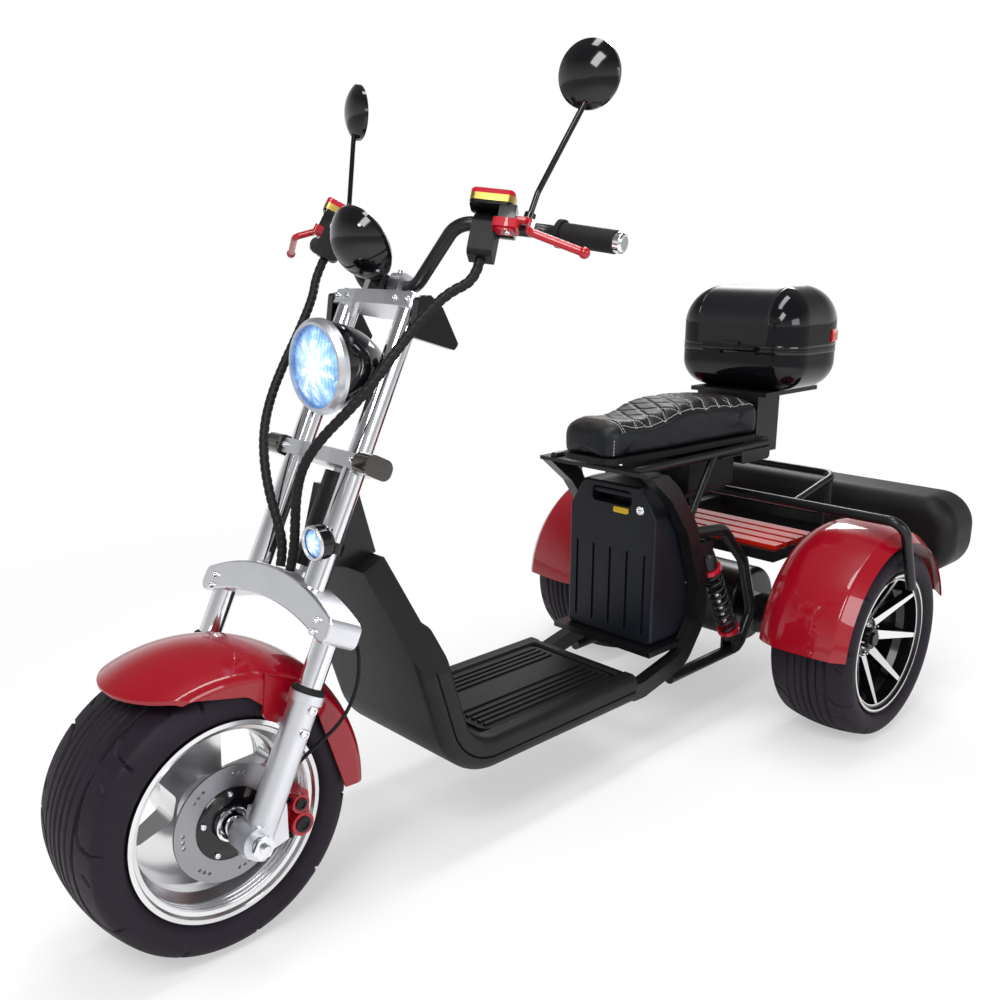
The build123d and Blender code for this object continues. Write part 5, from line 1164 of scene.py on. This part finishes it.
def belt(levels, corner=0):
    """A strip round the case, or one back corner, through (grow, height over the seam)."""
    rows = [[at(x, y, CASE_SEAM + height) for x, y in case_outline(grow)
             if not corner or corner * y > REFLECTOR_Y and x < REFLECTOR_X] for grow, height in levels]
    count = len(rows[0])
    verts = [point for row in rows for point in row]
    faces = skin(len(rows), count, closed=True, round_rows=not corner)
    if corner:
        faces.append([k * count for k in range(len(rows))][::-1])
        faces.append([k * count + count - 1 for k in range(len(rows))])
    return verts, faces


def case_trim():
    """Rims along the case's seam and the red corner reflectors."""
    lid = Shape().add(*belt([(-2, 1.2), (0.8, 1.2), (0.9, 2), (0.9, 8), (0.2, 9), (-2, 9)]))
    lid.make("lid_rim", "gloss_black", "case_lid")
    base = Shape().add(*belt([(-2, -11), (0.2, -11), (0.9, -10), (0.9, -2), (0.8, -1.2), (-2, -1.2)]))
    base.make("base_rim", "gloss_black", "chassis")
    red = Shape()
    for side in (1, -1):
        red.add(*belt([(-2, 12), (3, 13), (4.2, 16), (4.2, 36), (3, 40), (-2, 42)], side))
    # the reflectors glow with the red lamp material's emission: painted light
    red.make("case_reflectors", "lamp_red", "case_lid", sharp=50)


# Station of the battery's front face
BATTERY_FRONT = 448.0


def battery_trim():
    """Yellow latch and the lock below the battery's grip."""
    latch = Shape().add(*prism(rounded(19, 6, 3), -1, 5), facing(at(BATTERY_FRONT, 28, 526), (1, 0, 0), SIDE))
    latch.make("battery_latch", "latch_yellow", "chassis", "reservoir_gold")
    lock = lathe([(10, -1), (10, 3), (8.6, 4.4), (6, 4.4), (5.4, 3.2), (0.3, 3.2)], 36)
    key = prism([(-3.6, -0.8), (3.6, -0.8), (3.6, 0.8), (-3.6, 0.8)], 3, 3.6)
    place = facing(at(BATTERY_FRONT, 79, 534), (1, 0, 0), SIDE)
    Shape().add(*lock, place).make("battery_lock", "bright_chrome", "chassis")
    Shape().add(*key, place).make("battery_keyway", "gloss_black", "chassis")


# Rear hubs: distance of the hub's face from the middle plane, radius of the circle of nuts
HUB_FACE = 380.0
NUT_CIRCLE = 35.5
NUTS = 5


def hub_trim():
    """A turned ring and lug nuts on each rear hub."""
    for side, body in ((1, "rear_wheel_left"), (-1, "rear_wheel_right")):
        axle = Vector((REAR_AXLE.x, side * HUB_FACE * MM, REAR_AXLE.z))
        place = facing(axle, SIDE * side)
        section = [(27.5, -0.5), (44, -0.5), (44, 1.2), (42, 2.4), (29.5, 2.4), (27.5, 1.2)]
        trim = Shape().add(*ring(section, 64), place)
        trim.make(body + "_hub_ring", "gloss_black", body)
        nuts = Shape()
        for step in around(NUTS, NUT_CIRCLE):
            nuts.add(*hex_nut(5.2, 4, 2.6), facing(axle + step + SIDE * side * 2.2 * MM, SIDE * side))
        nuts.make(body + "_nuts", "bright_chrome", body)


hub_trim()
looms()
brake_hose()
seat()
shocks()
front_wheel_trim()
fork_trim()
fog_lens()
dash_trim()
controls()
case_trim()
battery_trim()


# Stage, light and camera
def area_light(name, where, size, power, colour):
    """A softbox that looks at the middle of the object."""
    lamp = bpy.data.lights.new(name, "AREA")
    lamp.shape, lamp.size, lamp.size_y = "RECTANGLE", *size
    lamp.energy, lamp.color = power, colour
    holder = bpy.data.objects.new(name, lamp)
    aim = Vector((0, 0, 0.5))
    holder.matrix_world = facing(where, Vector(where) - aim)
    bpy.context.scene.collection.objects.link(holder)


def floor_material():
    """Pale floor that fades to the white surround away from the object, where the camera sees it."""
    look = Look("pale_floor", (0.9, 0.9, 0.9), 0.9, specular=0.1)
    here = look.node("NewGeometry", {}).outputs["Position"]
    away = look.node("VectorMath", {0: here}, operation="LENGTH").outputs["Value"]
    seen = look.node("LightPath", {}).outputs["Is Camera Ray"]
    share = look.math("MULTIPLY", seen, look.spread(away, 1.0, 2.4, 0.45, 1.0))
    glow = look.node("Emission", {}).outputs[0]
    mix = look.node("MixShader", {0: share, 1: look.shader.outputs[0], 2: glow})
    look.links.new(mix.outputs[0], look.material.node_tree.nodes["Material Output"].inputs["Surface"])
    return look.material


def surround():
    """White for the camera and through glass, darker overhead in reflections, half as bright as a light."""
    world = bpy.data.worlds.new("surround")
    world.use_nodes = True
    tree = world.node_tree
    path = add_node(tree, "LightPath", {})
    seen = add_node(tree, "Math", {0: path.outputs["Is Camera Ray"], 1: path.outputs["Is Transmission Ray"]},
                    operation="MAXIMUM")
    coords = add_node(tree, "TexCoord", {})
    split = add_node(tree, "SeparateXYZ", {0: coords.outputs["Generated"]})
    ceiling = add_node(tree, "MapRange", {"Value": split.outputs["Z"], "From Min": 0.06, "From Max": 0.5,
                                          "To Min": 1.0, "To Max": 0.2})
    mirrored = add_node(tree, "Mix", {0: path.outputs["Is Glossy Ray"], 2: 0.5, 3: ceiling.outputs[0]})
    level = add_node(tree, "Mix", {0: seen.outputs[0], 2: mirrored.outputs[0], 3: 1.0})
    background = tree.nodes["Background"]
    tree.links.new(level.outputs[0], background.inputs["Strength"])
    background.inputs["Color"].default_value = (1, 1, 1, 1)
    return world


# Softboxes: name, place, width and height in metres, power in watts, colour
SOFTBOXES = (
    ("key", (2.4, 1.2, 2.9), (1.6, 0.9), 60, (1, 0.99, 0.97)),
    ("fill", (0.2, 3.2, 1.7), (1.8, 1.0), 34, (0.97, 0.98, 1)),
    ("back", (-2.6, -1.4, 2.4), (1.6, 0.8), 40, (1, 1, 1)),
    ("top", (0.0, 0.2, 3.4), (2.4, 0.5), 40, (1, 1, 1)),
)
FLOOR_R = 60000


def stage():
    """A pale floor, a soft white surround and softboxes."""
    scene = bpy.context.scene
    scene.view_settings.view_transform = "Standard"
    mesh = bpy.data.meshes.new("floor")
    verts, faces = lathe([(FLOOR_R, -1), (FLOOR_R, 0)], 96)
    mesh.from_pydata(verts, [], faces)
    floor = bpy.data.objects.new("floor", mesh)
    floor.location.z = -0.0005
    scene.collection.objects.link(floor)
    floor.data.materials.append(floor_material())
    scene.world = surround()
    for softbox in SOFTBOXES:
        area_light(*softbox)


def camera():
    """The photograph's camera."""
    data = bpy.data.cameras.new("camera")
    data.sensor_width, data.lens = 36.0, LENS
    data.shift_x, data.shift_y = SHIFT
    holder = bpy.data.objects.new("camera", data)
    a, e = math.radians(CAMERA_AZIMUTH), math.radians(CAMERA_ELEVATION)
    back = Vector((math.sin(a) * math.cos(e), -math.cos(a) * math.cos(e), math.sin(e)))
    holder.rotation_mode = "QUATERNION"
    holder.rotation_quaternion = (-back).to_track_quat("-Z", "Y")
    holder.location = CAMERA_AT
    bpy.context.scene.collection.objects.link(holder)
    bpy.context.scene.camera = holder


stage()
camera()
